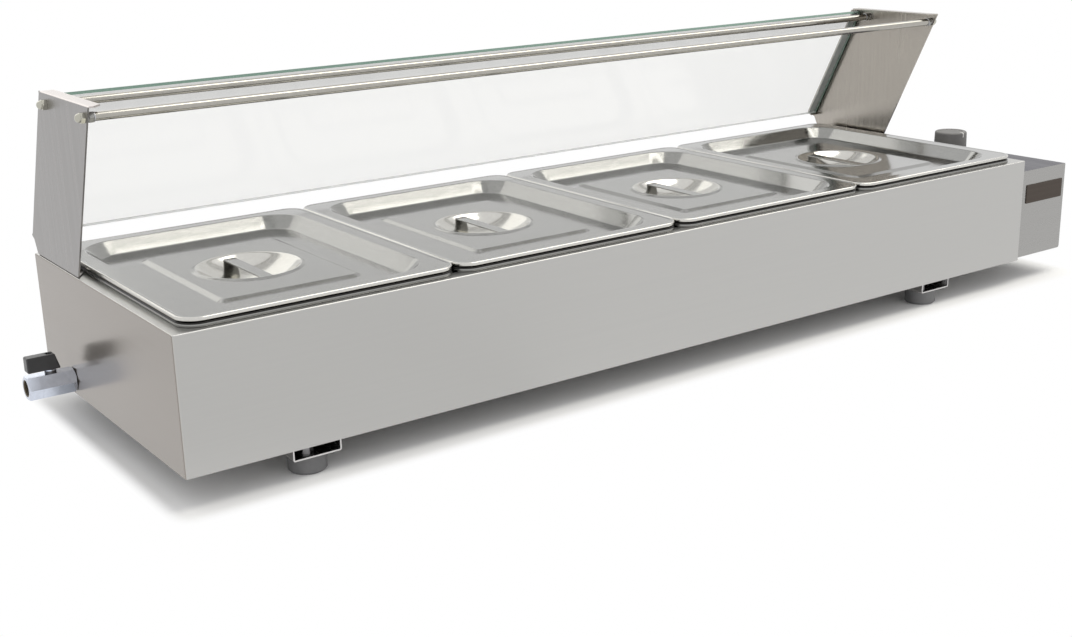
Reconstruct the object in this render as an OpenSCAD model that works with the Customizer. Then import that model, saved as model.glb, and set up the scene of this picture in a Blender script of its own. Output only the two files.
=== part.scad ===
// Counter-top bain marie: four lidded pans in a water bath, a leaning glass guard, a drain valve on the
// left and a thermostat in a control box on the right. Millimetres. X runs along the casing, Y from front
// to back, Z up. The modules work from the casing's lower front left corner, and place() moves the whole
// object so that its origin is under the middle of everything, on the surface that the feet stand on.

/* [Pans] */
// Width of a pan and of its lid, along the casing
pan_w = 264.6; // [200:0.1:330]
// Length of a pan and of its lid, front to back
pan_l = 325; // [280:1:400]
// Depth of a pan, from its rim
pan_depth = 65; // [40:1:75]
// Sheet thickness of the pans and lids
pan_t = 0.8; // [0.6:0.1:1.2]
// Width of the flat rim round a pan's body
pan_rim_w = 10.8; // [10:0.1:14]
// Height of a pan's rim over the deck
pan_rim_h = 4.5; // [3.5:0.1:8]
// Outer corner radius of the rims
rim_corner_r = 19; // [10:0.5:30]
// Radius of the rim's outer bend
pan_bend_r = 2; // [1.5:0.1:2]
// Corner radius of a pan's body
pan_corner_r = 41.5; // [30:0.5:50]
// How far a pan's wall leans in, from rim to floor
pan_taper = 4; // [1:0.5:10]
// Radius between a pan's wall and its floor
pan_floor_r = 12; // [5:0.5:20]
// Gap between neighbouring pans
pan_gap = 0.4; // [0.3:0.1:3]

/* [Lids] */
// Height of a lid's turned-down edge
lid_edge_h = 3.5; // [2.5:0.1:6]
// Width of the hem under that edge, which lies on the pan's rim
lid_hem_w = 2.4; // [2.4:0.1:4]
// Width of a lid's flat flange at its left and right
lid_flange_x = 17.2; // [14:0.1:24]
// Width of a lid's flat flange at its front and back
lid_flange_y = 14.5; // [12:0.1:24]
// Depth of a lid's dish
lid_dish_h = 12.8; // [8:0.1:18]
// Width of the dish's sloping wall
lid_slope_w = 12.5; // [8:0.5:16]
// Corner radius at the top of the dish
lid_dish_r = 38; // [24:0.5:40]
// Width of the raised panel
lid_panel_w = 142; // [120:1:150]
// Length of the raised panel
lid_panel_l = 190; // [150:1:220]
// Height of the raised panel over the dish floor
lid_panel_h = 2.2; // [1:0.1:4]
// Width of the raised panel's sloping border
lid_panel_slope = 5; // [3:0.5:6]
// Corner radius of the raised panel
lid_panel_r = 8; // [7:0.5:14]
// Radius of the bowl's opening
bowl_r = 46.5; // [40:0.5:50]
// Depth of the bowl under its opening
bowl_depth = 18; // [12:0.5:24]
// Width of the rounded lip round the bowl
bowl_lip_w = 6.5; // [4:0.5:8]
// Height of that lip over the panel
bowl_lip_h = 1.2; // [0.8:0.1:2]
// Width of the strap handle
strap_w = 12.5; // [8:0.5:20]
// Thickness of the strap handle
strap_t = 1.5; // [1:0.1:3]
// Depth of the strap's top under the bowl's opening
strap_drop = 1; // [0.5:0.1:3]

/* [Casing] */
// Height of the casing
body_h = 124; // [118:1:160]
// Sheet thickness of the casing
casing_t = 1; // [0.8:0.1:1.5]
// Radius of the casing's upright corners
casing_corner_r = 2; // [2:0.1:4]
// Outer radius of the bend between walls and deck
casing_bend_r = 1.5; // [1.5:0.1:2]
// Deck left and right of the row of pans
side_margin = 12.5; // [12.4:0.1:40]
// Deck in front of the pans
front_margin = 7; // [3:0.5:40]
// Deck behind the pans
back_margin = 18; // [12:0.5:60]
// Corner radius of the deck's opening
opening_r = 12; // [8:0.5:15]
// Height of the base plate's upturned edge
base_edge_h = 12; // [6:1:20]
// Thickness of the insulation slab
insulation_t = 18; // [10:1:19]

/* [Tank] */
// Sheet thickness of the tank
tank_t = 1; // [0.8:0.1:1.5]
// Height of the tank's floor over the casing's lower edge
tank_floor_z = 28; // [28:1:34]
// Width of the tank's flange under the deck
tank_flange_w = 6; // [4:0.5:6]
// Inner corner radius of the tank
tank_corner_r = 15; // [12:0.5:25]

/* [Heating element] */
// Diameter of the tubular element
element_d = 8; // [6:0.1:9]
// Height of the element's middle over the tank's floor
element_rise = 10; // [10:0.5:12]
// Distance between the element's legs
element_pitch = 60; // [40:1:64]
// Diameter of the element's threaded bushes
bush_d = 14; // [12:0.5:14.5]
// Thickness of the hexagonal nuts on the bushes
bush_nut_t = 6; // [4:0.5:8]

/* [Drain] */
// Distance of the drain from the casing's front
drain_y = 270; // [200:1:290]
// Height of the drain's axis over the casing's lower edge
drain_z = 15; // [14:0.5:16]
// Outer diameter of the drain pipe
drain_pipe_d = 16.6; // [14:0.1:17]
// Bore of the drain pipe
drain_bore_d = 12; // [8:0.5:13]
// Centreline radius of the pipe's elbow
drain_bend_r = 12; // [11:0.5:14]
// Distance of the drain hole from the casing's left face
drain_x = 45; // [40:1:80]

/* [Valve] */
// Size of the valve's hexagon across its flats
valve_af = 22; // [22:0.5:27]
// Length of the valve, wall to mouth
valve_l = 46; // [45:0.5:60]
// Length of the mouth insert's hexagon
valve_insert_l = 13; // [12:0.5:13]
// Distance of the stem's axis from the wall
stem_x = 21.5; // [21.5:0.1:22]
// Diameter of the valve's ball
ball_d = 15; // [14:0.1:15]
// Diameter of the bore through the ball
port_d = 9; // [6:0.5:9]
// Diameter of the thread bore in the valve's mouth
mouth_d = 14.95; // [12:0.05:15]
// Depth of the thread bore
mouth_depth = 12; // [8:0.5:12.5]
// Diameter of the valve's stem
stem_d = 6; // [5:0.1:6]
// Length of the lever
lever_l = 31; // [24:0.5:34]
// Width of the lever
lever_w = 11; // [9:0.5:13]
// Height of the lever
lever_h = 15; // [10:0.5:18]
// Reach of the lever from the stem's axis towards the wall
lever_back = 8.5; // [7:0.5:10]

/* [Guard] */
// Sheet thickness of the guard plates
guard_t = 1.5; // [1:0.1:2]
// Distance of a guard plate's outer face from the casing's end
guard_inset = 1; // [1:0.1:3]
// Height of the guard over the deck
guard_h = 166.5; // [140:0.5:220]
// Front of a plate's foot, from the casing's front
guard_foot_front = 224; // [200:1:240]
// Back of a plate's foot
guard_foot_back = 339; // [320:1:345]
// Front of a plate's top
guard_top_front = 143; // [120:1:160]
// Back of a plate's top
guard_top_back = 275; // [268:1:290]
// Furthest back that a plate reaches, at its knee
guard_knee_y = 353; // [351:1:358]
// Height of the knee over the deck
guard_knee_h = 17.5; // [16:0.5:24]
// Width of the top flange
guard_top_flange = 13.5; // [10:0.5:20]
// Width of the foot flange
guard_foot_flange = 11; // [9:0.5:11]
// Width of the back flange
guard_back_flange = 13; // [10:0.5:20]
// Mitre at the top flange's front corner
guard_top_mitre = 8; // [0:0.5:12]
// Length of the mitre at the foot flange's front corner
guard_foot_mitre = 15; // [0:0.5:16]
// Thickness of the glass
glass_t = 5; // [4:0.5:8]
// Thickness of the strips behind the glass
pad_t = 1; // [0.5:0.1:2]
// Gap between the glass and each plate
glass_gap = 1; // [0.5:0.1:3]
// Diameter of the tie rods
rod_d = 8; // [7:0.5:10]
// Distance of the front rod from the plates' top front corner
rod_front_in = 11.5; // [9:0.5:20]
// Distance of the back rod from the plates' top back corner
rod_back_in = 18; // [16:0.5:30]
// Depth of both rods under the plates' top
rod_drop = 10.5; // [9:0.5:20]
// Diameter of the rods' thread
rod_thread_d = 5; // [4:0.5:6]
// Size of the rod nuts across their flats
rod_nut_af = 9; // [8.5:0.5:11]
// Thickness of the hexagonal rod nuts
rod_nut_t = 5; // [4:0.5:6]
// Thickness of the rod washers
rod_washer_t = 1; // [0.8:0.1:1.5]
// Length of the dome nuts
dome_nut_l = 8.5; // [8:0.5:14]

/* [Feet] */
// Distance of the left channel's middle from the casing's left end
channel_x_left = 120.5; // [60:0.5:200]
// Distance of the right channel's middle from the casing's right end
channel_x_right = 153.5; // [60:0.5:240]
// Width of a channel
channel_w = 47; // [36:0.5:60]
// Height of a channel
channel_h = 10.5; // [9:0.5:20]
// Sheet thickness of a channel
channel_t = 1.5; // [1:0.1:2]
// Diameter of a rubber foot
foot_d = 35; // [30:0.5:40]
// Height of a rubber foot
foot_h = 18; // [14:0.5:30]
// Distance of the feet from the casing's front and back
foot_in = 23; // [20:0.5:50]

/* [Control box] */
// Length of the control box, along the casing
box_l = 85; // [80:1:120]
// Height of the control box
box_h = 108; // [100:1:115]
// Height of the box's underside over the casing's lower edge
box_z = 2; // [2:0.5:3]
// Distance of the box's front and back from the casing's front and back
box_in = 3; // [2:0.5:6]
// Sheet thickness of the box
box_t = 1.2; // [1:0.1:1.5]
// Width of the flange under the box
box_flange = 12; // [11:0.5:16]
// Width of the bare plate on the front
plate_w = 70; // [50:1:70]
// Height of the bare plate
plate_h = 23; // [15:1:30]
// Thickness of the bare plate
plate_t = 1; // [0.5:0.1:1.5]
// Distance of the bare plate's middle from the box's top
plate_drop = 29.5; // [25:0.5:60]

/* [Thermostat] */
// Distance of the knob from the casing's right end
knob_x = 43; // [41:1:44]
// Distance of the knob from the casing's front
knob_y = 148; // [110:1:180]
// Diameter of the knob
knob_d = 40; // [34:0.5:42]
// Height of the knob
knob_h = 27; // [20:0.5:30]
// Diameter of the knob's skirt
skirt_d = 50; // [46:0.5:54]
// Height of the knob's skirt
skirt_h = 4; // [3:0.5:6]
// Diameter of the thermostat's shaft
shaft_d = 6; // [5:0.1:7]
// Length of the sensing bulb
bulb_l = 90; // [60:1:120]
// Diameter of the sensing bulb
bulb_d = 6.4; // [5:0.1:6.4]
// Diameter of the capillary tube
capillary_d = 2; // [1.5:0.1:2.5]

/* [Hidden] */
$fn = 64;

// Gap between a piece that lifts or turns and what it lies on
seat_gap = 0.3;
// Radial gap of a thread or a pressed pin in its hole
thread_gap = 0.03;
// Radial gap of a turning shaft
running_gap = 0.05;
// Radial gap of a screw in a plain hole
hole_gap = 0.3;
// Overlap that joins two stretches of one folded or pressed sheet
weld = 0.5;
// Points of each rounded bend in a profile
bend_steps = 4;

// The row of pans and the casing round it
pan_count = 4;
pan_pitch = pan_w + pan_gap;
body_l = 2 * side_margin + pan_count * pan_pitch;
body_d = front_margin + pan_l + back_margin;
pan_y = front_margin + pan_l / 2;
pan_body_w = pan_w - 2 * pan_rim_w;
pan_body_l = pan_l - 2 * pan_rim_w;
rim_z = body_h + pan_rim_h + seat_gap;
pan_body_clear = 1.5;
opening_x = side_margin + pan_gap / 2 + pan_rim_w - pan_body_clear;
opening_w = body_l - 2 * opening_x;
opening_l = pan_body_l + 2 * pan_body_clear;
function pan_x(i) = side_margin + (i - 0.5) * pan_pitch;

// Lid heights
lid_z = rim_z + seat_gap + lid_edge_h;
lid_floor_z = lid_z - lid_dish_h;
lid_panel_z = lid_floor_z + lid_panel_h;
lid_edge_r = 1.5;
bowl_mouth_z = lid_panel_z - 0.5;
bowl_sphere_r = (bowl_r * bowl_r + bowl_depth * bowl_depth) / (2 * bowl_depth);
bowl_centre_z = bowl_mouth_z - bowl_depth + bowl_sphere_r;

// Tank
tank_clear = 0.5;
tank_w = opening_w + 2 * tank_clear;
tank_l = opening_l + 2 * tank_clear;
tank_right = opening_x + opening_w + tank_clear;
tank_top_z = body_h - casing_t;

// Control box and thermostat
box_top_z = box_z + box_h;
knob_centre_x = body_l + knob_x;
box_right = body_l + box_l;
gland_x = box_right - 42;
gland_z = box_z + 38;
gland_thread_d = 16;
gland_flange_t = 6;
gland_nut_l = 13;
gland_bore_d = 9;
gland_y = body_d - box_in;
gland_end = gland_y + gland_flange_t + gland_nut_l;
thermostat_w = 36;
thermostat_l = 44;
thermostat_h = 26;
thermostat_z = box_top_z - box_t - thermostat_h;
thermostat_screw_y = 13.5;

// Heating element: four legs joined by three bends
element_legs = 4;
element_z = tank_floor_z + element_rise;
element_turn_left = 120;
element_turn_right = body_l - 75;
terminal_end = body_l + 22;
function leg_y(k) = pan_y + (k - (element_legs + 1) / 2) * element_pitch;

// Sensing bulb under the tank's floor
bulb_z = tank_floor_z - tank_t - bulb_d / 2 - 0.1;
bulb_x = body_l - 185;
capillary_rise_x = body_l + 10;

// Guard: a leaning frame stands on the knee, its Z along the back flange
lean = atan((guard_knee_y - guard_top_back) / (guard_h - guard_knee_h));
lean_top = (guard_h - guard_knee_h) / cos(lean);
lean_foot = 5;
glass_front = guard_t + pad_t + glass_t;
glass_top_gap = 3;
rod_z = body_h + guard_h - rod_drop;
front_rod_y = guard_top_front + rod_front_in;
back_rod_y = guard_top_back - rod_back_in;
guard_inner = guard_inset + guard_t;
stack_l = 2 * rod_washer_t + rod_nut_t;
rod_end = guard_inner + stack_l;
guard_screw_x = guard_inset + 6.2;
guard_screw_front = guard_foot_front + 20;
guard_screw_back = guard_foot_back - 14;
guard_screw_d = 4;

// Valve
stem_pos = -stem_x;
valve_mouth_x = -valve_l;
insert_face_x = -valve_l + valve_insert_l;
pipe_end_x = -11;
seat_face = ball_d * 0.31;
seat_back = ball_d * 0.53;
cavity_r = ball_d / 2 + 1;
boss_r = 5.5;
boss_z = drain_z + valve_af / 2 + 2.5;
packing_t = 1.2;
lever_z = boss_z + packing_t + seat_gap;
stem_top_z = lever_z + 9;

// Feet and channels
channel_r = 2;
foot_screw_d = 6;
foot_z = -channel_h - foot_h;
channel_left_x = channel_x_left;
channel_right_x = body_l - channel_x_right;

// Where the whole object ends, and its middle
reach_left = valve_mouth_x;
reach_right = box_right;
reach_front = 0;
reach_back = max(gland_end, guard_knee_y);

steel = [0.72, 0.72, 0.71];
dark_steel = [0.55, 0.54, 0.53];
rubber = [0.25, 0.25, 0.27];
brass = [0.78, 0.62, 0.3];

// Moves the object from the casing's corner to its own origin
module place() {
  translate([-(reach_left + reach_right) / 2, -(reach_front + reach_back) / 2, -foot_z]) children();
}

// Points of an arc round [cx, cy] from angle a to angle b
function arc(cx, cy, r, a, b, n) =
  [for (k = [0:n]) let (t = a + (b - a) * k / n) [cx + r * cos(t), cy + r * sin(t)]];

// Rectangle with round corners, centred
module rounded_rect(w, l, r) {
  square([w - 2 * r, l], center = true);
  square([w, l - 2 * r], center = true);
  for (sx = [-1, 1], sy = [-1, 1]) translate([sx * (w / 2 - r), sy * (l / 2 - r)]) circle(r);
}

// Flat plate with round corners, centred, standing on z
module rounded_plate(w, l, r, z, t) {
  translate([0, 0, z]) linear_extrude(t) rounded_rect(w, l, r);
}

// Profile swept round a rectangle with round corners: the profile's x is the distance from the corner's
// centre, its y is the height, and w and l are the rectangle's sides where the profile's x equals r
module swept(w, l, r, profile) {
  cx = w / 2 - r;
  cy = l / 2 - r;
  for (c = [[1, 1, 0], [-1, 1, 90], [-1, -1, 180], [1, -1, 270]])
    translate([c[0] * cx, c[1] * cy, 0]) rotate([0, 0, c[2]]) rotate_extrude(angle = 90) polygon(profile);
  for (m = [0, 1]) {
    mirror([m, 0, 0]) translate([cx, 0, 0]) rotate([90, 0, 0])
      linear_extrude(2 * cy, center = true) polygon(profile);
    mirror([0, m, 0]) translate([0, cy, 0]) rotate([90, 0, 90])
      linear_extrude(2 * cx, center = true) polygon(profile);
  }
}

// Profile of a sheet's edge that turns down: flat to radius r, round the bend, down to z_low
function edge_profile(r, bend, t, z_top, z_low) = concat(
  [[r - bend - weld, z_top]],
  arc(r - bend, z_top - bend, bend, 90, 0, bend_steps),
  [[r, z_low], [r - t, z_low]],
  arc(r - bend, z_top - bend, bend - t, 0, 90, bend_steps),
  [[r - bend - weld, z_top - t]]);

// Profile of a sheet that steps from a flat at z_out down or up to a flat at z_in, further in
function step_profile(r_out, r_in, z_out, z_in, t) =
  let (a = atan2(z_out - z_in, r_out - r_in), k = t * tan(a / 2), e = 2 * weld)
  [[r_out + e, z_out], [r_out, z_out], [r_in, z_in], [r_in - e, z_in],
   [r_in - e, z_in - t], [r_in + k, z_in - t], [r_out + k, z_out - t], [r_out + e, z_out - t]];

// Extrusion of a side view, drawn in Y and Z, from x0 to x1
module side_extrude(x0, x1) {
  translate([x0, 0, 0]) rotate([90, 0, 90]) linear_extrude(x1 - x0) children();
}

// Round bar along X, Y or Z
module bar_x(x0, x1, y, z, d) { translate([x0, y, z]) rotate([0, 90, 0]) cylinder(h = x1 - x0, d = d); }
module bar_y(y0, y1, x, z, d) { translate([x, y0, z]) rotate([-90, 0, 0]) cylinder(h = y1 - y0, d = d); }
module bar_z(z0, z1, x, y, d) { translate([x, y, z0]) cylinder(h = z1 - z0, d = d); }

// Hexagonal prism along its own Z, of the given size across flats
module hexagon(af, h) { rotate([0, 0, 30]) cylinder(h = h, d = af / cos(30), $fn = 6); }
module hex_x(x0, x1, y, z, af) { translate([x0, y, z]) rotate([0, 90, 0]) hexagon(af, x1 - x0); }

// Round-headed screw, head up, its seat at the origin
module screw(d, head_d, head_h, length) {
  translate([0, 0, -length]) cylinder(h = length, d = d);
  cylinder(h = head_h * 0.6, d = head_d);
  translate([0, 0, head_h * 0.6]) cylinder(h = head_h * 0.4, d1 = head_d, d2 = head_d * 0.7);
}

// Right-hand copy of a piece at the casing's left end
module at_right() { translate([body_l, 0, 0]) mirror([1, 0, 0]) children(); }
module at_both_ends() {
  children();
  at_right() children();
}

// Leaning frame of the guard: Z up along the back flange, -Y towards the glass
module leaning() {
  translate([0, guard_knee_y, body_h + guard_knee_h]) rotate([lean, 0, 0]) children();
}

// Casing

module outer_casing() {
  color(steel) difference() {
    union() {
      translate([body_l / 2, body_d / 2, 0]) {
        swept(body_l, body_d, casing_corner_r,
          edge_profile(casing_corner_r, casing_bend_r, casing_t, body_h, 0));
        difference() {
          rounded_plate(body_l - 2 * (casing_bend_r + weld / 2), body_d - 2 * (casing_bend_r + weld / 2),
            casing_corner_r - casing_bend_r - weld / 2, body_h - casing_t, casing_t);
          translate([0, pan_y - body_d / 2, 0])
            rounded_plate(opening_w, opening_l, opening_r, body_h - 2 * casing_t, 3 * casing_t);
        }
      }
    }
    bar_x(-1, 2 * casing_t, drain_y, drain_z, drain_pipe_d + 2 * hole_gap);
    for (k = [1, element_legs])
      bar_x(body_l - 2 * casing_t, body_l + 1, leg_y(k), element_z, bush_d + 10);
    bar_x(body_l - 2 * casing_t, body_l + 1, pan_y, bulb_z, 3 * capillary_d);
    for (x = [guard_screw_x, body_l - guard_screw_x], y = [guard_screw_front, guard_screw_back])
      bar_z(body_h - 2 * casing_t, body_h + 1, x, y, guard_screw_d + 2 * hole_gap);
  }
}

module base_plate() {
  w = body_l - 2 * casing_t;
  l = body_d - 2 * casing_t;
  r = casing_corner_r - casing_t + hole_gap;
  color(dark_steel) translate([casing_t, casing_t, 0]) difference() {
    translate([w / 2, l / 2, 0]) rounded_plate(w, l, r, 0, casing_t + base_edge_h);
    translate([casing_t, casing_t, casing_t]) cube([w - 2 * casing_t, l - 2 * casing_t, base_edge_h + 1]);
    translate([-1, drain_y - casing_t - drain_pipe_d / 2 - 2, casing_t])
      cube([3 * casing_t, drain_pipe_d + 4, base_edge_h + 1]);
  }
}

module inner_tank() {
  color(steel) translate([opening_x + opening_w / 2, pan_y, 0]) difference() {
    union() {
      rounded_plate(tank_w + 2 * tank_t, tank_l + 2 * tank_t, tank_corner_r + tank_t,
        tank_floor_z - tank_t, tank_top_z - tank_floor_z + tank_t);
      rounded_plate(tank_w + 2 * tank_flange_w, tank_l + 2 * tank_flange_w, tank_corner_r,
        tank_top_z - tank_t, tank_t);
    }
    rounded_plate(tank_w, tank_l, tank_corner_r, tank_floor_z, tank_top_z);
    bar_z(tank_floor_z - 2 * tank_t, tank_floor_z + 1, drain_x - body_l / 2, drain_y - pan_y,
      drain_pipe_d + 2 * hole_gap);
    for (k = [1, element_legs])
      bar_x(tank_w / 2 - 1, tank_w / 2 + 2 * tank_t, leg_y(k) - pan_y, element_z, bush_d + 2 * hole_gap);
  }
}

module insulation() {
  x0 = drain_x + drain_bend_r + 10;
  in = 20;
  color([0.85, 0.78, 0.5]) translate([x0, in, casing_t])
    cube([body_l - in - x0, body_d - 2 * in, insulation_t]);
}

// Channels and feet

module channel(x) {
  run = body_d - 2 * casing_t;
  color(steel) difference() {
    translate([x, casing_t + run, 0]) rotate([90, 0, 0]) linear_extrude(run) difference() {
      union() {
        translate([0, -channel_h / 2 + channel_r / 2])
          square([channel_w, channel_h - channel_r], center = true);
        translate([0, -channel_h + channel_r / 2])
          square([channel_w - 2 * channel_r, channel_r], center = true);
        for (s = [-1, 1])
          translate([s * (channel_w / 2 - channel_r), channel_r - channel_h]) circle(channel_r);
      }
      translate([channel_t - channel_w / 2, channel_t - channel_h])
        square([channel_w - 2 * channel_t, channel_h]);
    }
    for (y = [foot_in, body_d - foot_in])
      bar_z(-channel_h - 1, -channel_h + 2 * channel_t, x, y, foot_screw_d + 2 * hole_gap);
  }
}

module channel_left() { channel(channel_left_x); }
module channel_right() { channel(channel_right_x); }

module at_feet() {
  for (x = [channel_left_x, channel_right_x], y = [foot_in, body_d - foot_in])
    translate([x, y, -channel_h]) children();
}

foot_screw_seat = 8;
foot_nut_t = 5;

module feet() {
  chamfer = 1.5;
  color(rubber) at_feet() difference() {
    union() {
      translate([0, 0, chamfer - foot_h]) cylinder(h = foot_h - chamfer, d = foot_d);
      translate([0, 0, -foot_h]) cylinder(h = chamfer, d1 = foot_d - 2 * chamfer, d2 = foot_d);
    }
    translate([0, 0, -foot_h - 1]) cylinder(h = foot_h + 2, d = foot_screw_d + 2 * hole_gap);
    translate([0, 0, -foot_h - 1]) cylinder(h = foot_h + 1 - foot_screw_seat, d = 14);
  }
}

module foot_screws() {
  color(dark_steel) at_feet() translate([0, 0, -foot_screw_seat]) mirror([0, 0, 1])
    screw(foot_screw_d, 12, 3.5, foot_screw_seat + channel_t + foot_nut_t + 1);
}

module foot_nuts() {
  color(dark_steel) at_feet() translate([0, 0, channel_t]) difference() {
    hexagon(10, foot_nut_t);
    translate([0, 0, -1]) cylinder(h = foot_nut_t + 2, d = foot_screw_d + 2 * thread_gap);
  }
}

// Control box

box_d = body_d - 2 * box_in;
box_corner_low = 3;
box_corner_high = 1.5;
box_screw_d = 4;
box_screws_x = [15, 65];
box_screw_in = 7;

// Outline of the box seen from the front, g smaller all round except towards the casing
module box_outline(g) {
  r_low = box_corner_low - g;
  r_high = max(box_corner_high - g, 0.3);
  right = box_l - g;
  translate([0, g + r_low]) square([right, box_h - 2 * g - r_low - r_high]);
  translate([0, g]) square([right - r_low, r_low + weld]);
  translate([0, box_h - g - r_high - weld]) square([right - r_high, r_high + weld]);
  translate([right - r_low, g + r_low]) circle(r_low);
  translate([right - r_high, box_h - g - r_high]) circle(r_high);
}

module control_box() {
  color(steel) difference() {
    translate([body_l, body_d - box_in, box_z]) rotate([90, 0, 0]) linear_extrude(box_d) box_outline(0);
    translate([body_l - 1, body_d - box_in - box_t, box_z]) rotate([90, 0, 0])
      linear_extrude(box_d - 2 * box_t) box_outline(box_t);
    translate([body_l - 1, body_d - box_in - box_t, box_z + box_t + box_corner_low]) rotate([90, 0, 0])
      linear_extrude(box_d - 2 * box_t) square([box_l / 2, box_h - 2 * box_t - 2 * box_corner_low]);
    translate([body_l - 1, box_in + box_flange, box_z - 1])
      cube([box_l - box_flange + 1, box_d - 2 * box_flange, box_t + 2]);
    bar_z(box_top_z - 2 * box_t, box_top_z + 1, knob_centre_x, knob_y, shaft_d + 4);
    for (s = [-1, 1])
      bar_z(box_top_z - 2 * box_t, box_top_z + 1, knob_centre_x, knob_y + s * thermostat_screw_y,
        box_screw_d + 2 * hole_gap);
    bar_y(gland_y - 2 * box_t, gland_y + 1, gland_x, gland_z, gland_thread_d + 2 * hole_gap);
    for (dx = box_screws_x, y = [box_in + box_screw_in, body_d - box_in - box_screw_in])
      bar_z(box_z - 1, box_z + 2 * box_t, body_l + dx, y, box_screw_d + 2 * hole_gap);
  }
}

box_base_z = box_z + box_t;

module control_box_base() {
  inner = box_in + box_t + 0.3;
  color(dark_steel) difference() {
    translate([body_l + 0.5, inner, box_base_z])
      cube([box_l - box_corner_low - 1, body_d - 2 * inner, box_t]);
    for (dx = box_screws_x, y = [box_in + box_screw_in, body_d - box_in - box_screw_in])
      bar_z(box_base_z - 1, box_base_z + box_t + 1, body_l + dx, y, box_screw_d + 2 * thread_gap);
  }
}

module box_screws() {
  color(dark_steel)
    for (dx = box_screws_x, y = [box_in + box_screw_in, body_d - box_in - box_screw_in])
      translate([body_l + dx, y, box_z]) mirror([0, 0, 1]) screw(box_screw_d, 7, 1.8, 8);
}

module bare_plate() {
  color([0.3, 0.29, 0.28])
    translate([body_l + box_l / 2 + 2, box_in, box_top_z - plate_drop]) rotate([90, 0, 0])
      linear_extrude(plate_t) rounded_rect(plate_w, plate_h, 1.5);
}

// Thermostat

module thermostat_body() {
  bracket_t = 1.5;
  color([0.88, 0.86, 0.8]) difference() {
    union() {
      translate([knob_centre_x - thermostat_w / 2, knob_y - thermostat_l / 2, thermostat_z])
        cube([thermostat_w, thermostat_l, thermostat_h - bracket_t]);
      translate([knob_centre_x - thermostat_w / 2 + 4, knob_y - thermostat_l / 2 - 3,
        box_top_z - box_t - bracket_t - weld])
        cube([thermostat_w - 8, thermostat_l + 6, bracket_t + weld]);
      for (y = [-9, 9])
        translate([knob_centre_x - 3, knob_y + y - 0.4, thermostat_z - 8]) cube([6, 0.8, 8 + weld]);
    }
    bar_z(thermostat_z + 6, box_top_z, knob_centre_x, knob_y, shaft_d + 2 * running_gap);
    for (s = [-1, 1])
      bar_z(thermostat_z + 14, box_top_z, knob_centre_x, knob_y + s * thermostat_screw_y,
        box_screw_d + 2 * thread_gap);
  }
}

shaft_top_z = box_top_z + 16;
shaft_flat = 0.8;

module thermostat_shaft() {
  z0 = thermostat_z + 6 + seat_gap;
  color(brass) difference() {
    bar_z(z0, shaft_top_z, knob_centre_x, knob_y, shaft_d);
    translate([knob_centre_x - shaft_d / 2, knob_y - shaft_d / 2 - 1, box_top_z + 4])
      cube([shaft_d, shaft_flat + 1, shaft_top_z]);
  }
}

module thermostat_screws() {
  color(steel) for (s = [-1, 1])
    translate([knob_centre_x, knob_y + s * thermostat_screw_y, box_top_z]) screw(box_screw_d, 6.5, 2.2, 9);
}

module knob() {
  z0 = box_top_z + seat_gap;
  z1 = box_top_z + knob_h;
  bevel = 1.8;
  wall = 2;
  hub_d = 12;
  color([0.3, 0.3, 0.3]) difference() {
    translate([knob_centre_x, knob_y, 0]) rotate_extrude() polygon(concat(
      [[0, z0], [skirt_d / 2 - 0.8, z0], [skirt_d / 2, z0 + 0.8], [knob_d / 2 + 0.4, z0 + skirt_h]],
      arc(knob_d / 2 - bevel, z1 - bevel, bevel, 0, 90, bend_steps),
      [[0, z1]]));
    difference() {
      bar_z(z0 - 1, z0 + 4, knob_centre_x, knob_y, knob_d - 2 * wall);
      bar_z(z0 + 2.6, z0 + 5, knob_centre_x, knob_y, hub_d);
    }
    difference() {
      bar_z(z0 - 1, shaft_top_z + 1, knob_centre_x, knob_y, shaft_d + 2 * thread_gap);
      translate([knob_centre_x - shaft_d, knob_y - shaft_d - 1, box_top_z + 4])
        cube([2 * shaft_d, shaft_d / 2 + 1 + shaft_flat - thread_gap, knob_h]);
    }
    translate([knob_centre_x - 0.8, knob_y - knob_d / 2 - 1, z0 + skirt_h + 6]) cube([1.6, 1.7, knob_h]);
    translate([knob_centre_x - 0.8, knob_y - knob_d / 2 - 1, z1 - 0.7]) cube([1.6, knob_d / 2 - 3, 2]);
  }
}

// Bulb under the tank's floor, and its capillary to the thermostat
capillary_route = [
  [bulb_x + bulb_l - 1, pan_y, bulb_z],
  [capillary_rise_x, pan_y, bulb_z],
  [capillary_rise_x + 8, pan_y, bulb_z + 8],
  [capillary_rise_x + 8, pan_y, thermostat_z + 2],
  [knob_centre_x - thermostat_w / 2 + 4, knob_y + thermostat_l / 2 - 6, thermostat_z - 6],
  [knob_centre_x - thermostat_w / 2 + 6, knob_y + thermostat_l / 2 - 8, thermostat_z - 0.1 - capillary_d / 2]
];

// Round wire or tube along straight stretches with ball joints
module wire(route, d) {
  for (k = [0:len(route) - 2]) {
    step = route[k + 1] - route[k];
    translate(route[k]) rotate([0, acos(step[2] / norm(step)), atan2(step[1], step[0])])
      cylinder(h = norm(step), d = d);
  }
  for (k = [1:len(route) - 2]) translate(route[k]) sphere(d = d);
}

module sensing_bulb() {
  color([0.75, 0.5, 0.35]) {
    bar_x(bulb_x, bulb_x + bulb_l, pan_y, bulb_z, bulb_d);
    wire(capillary_route, capillary_d, $fn = 10);
  }
}

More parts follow.
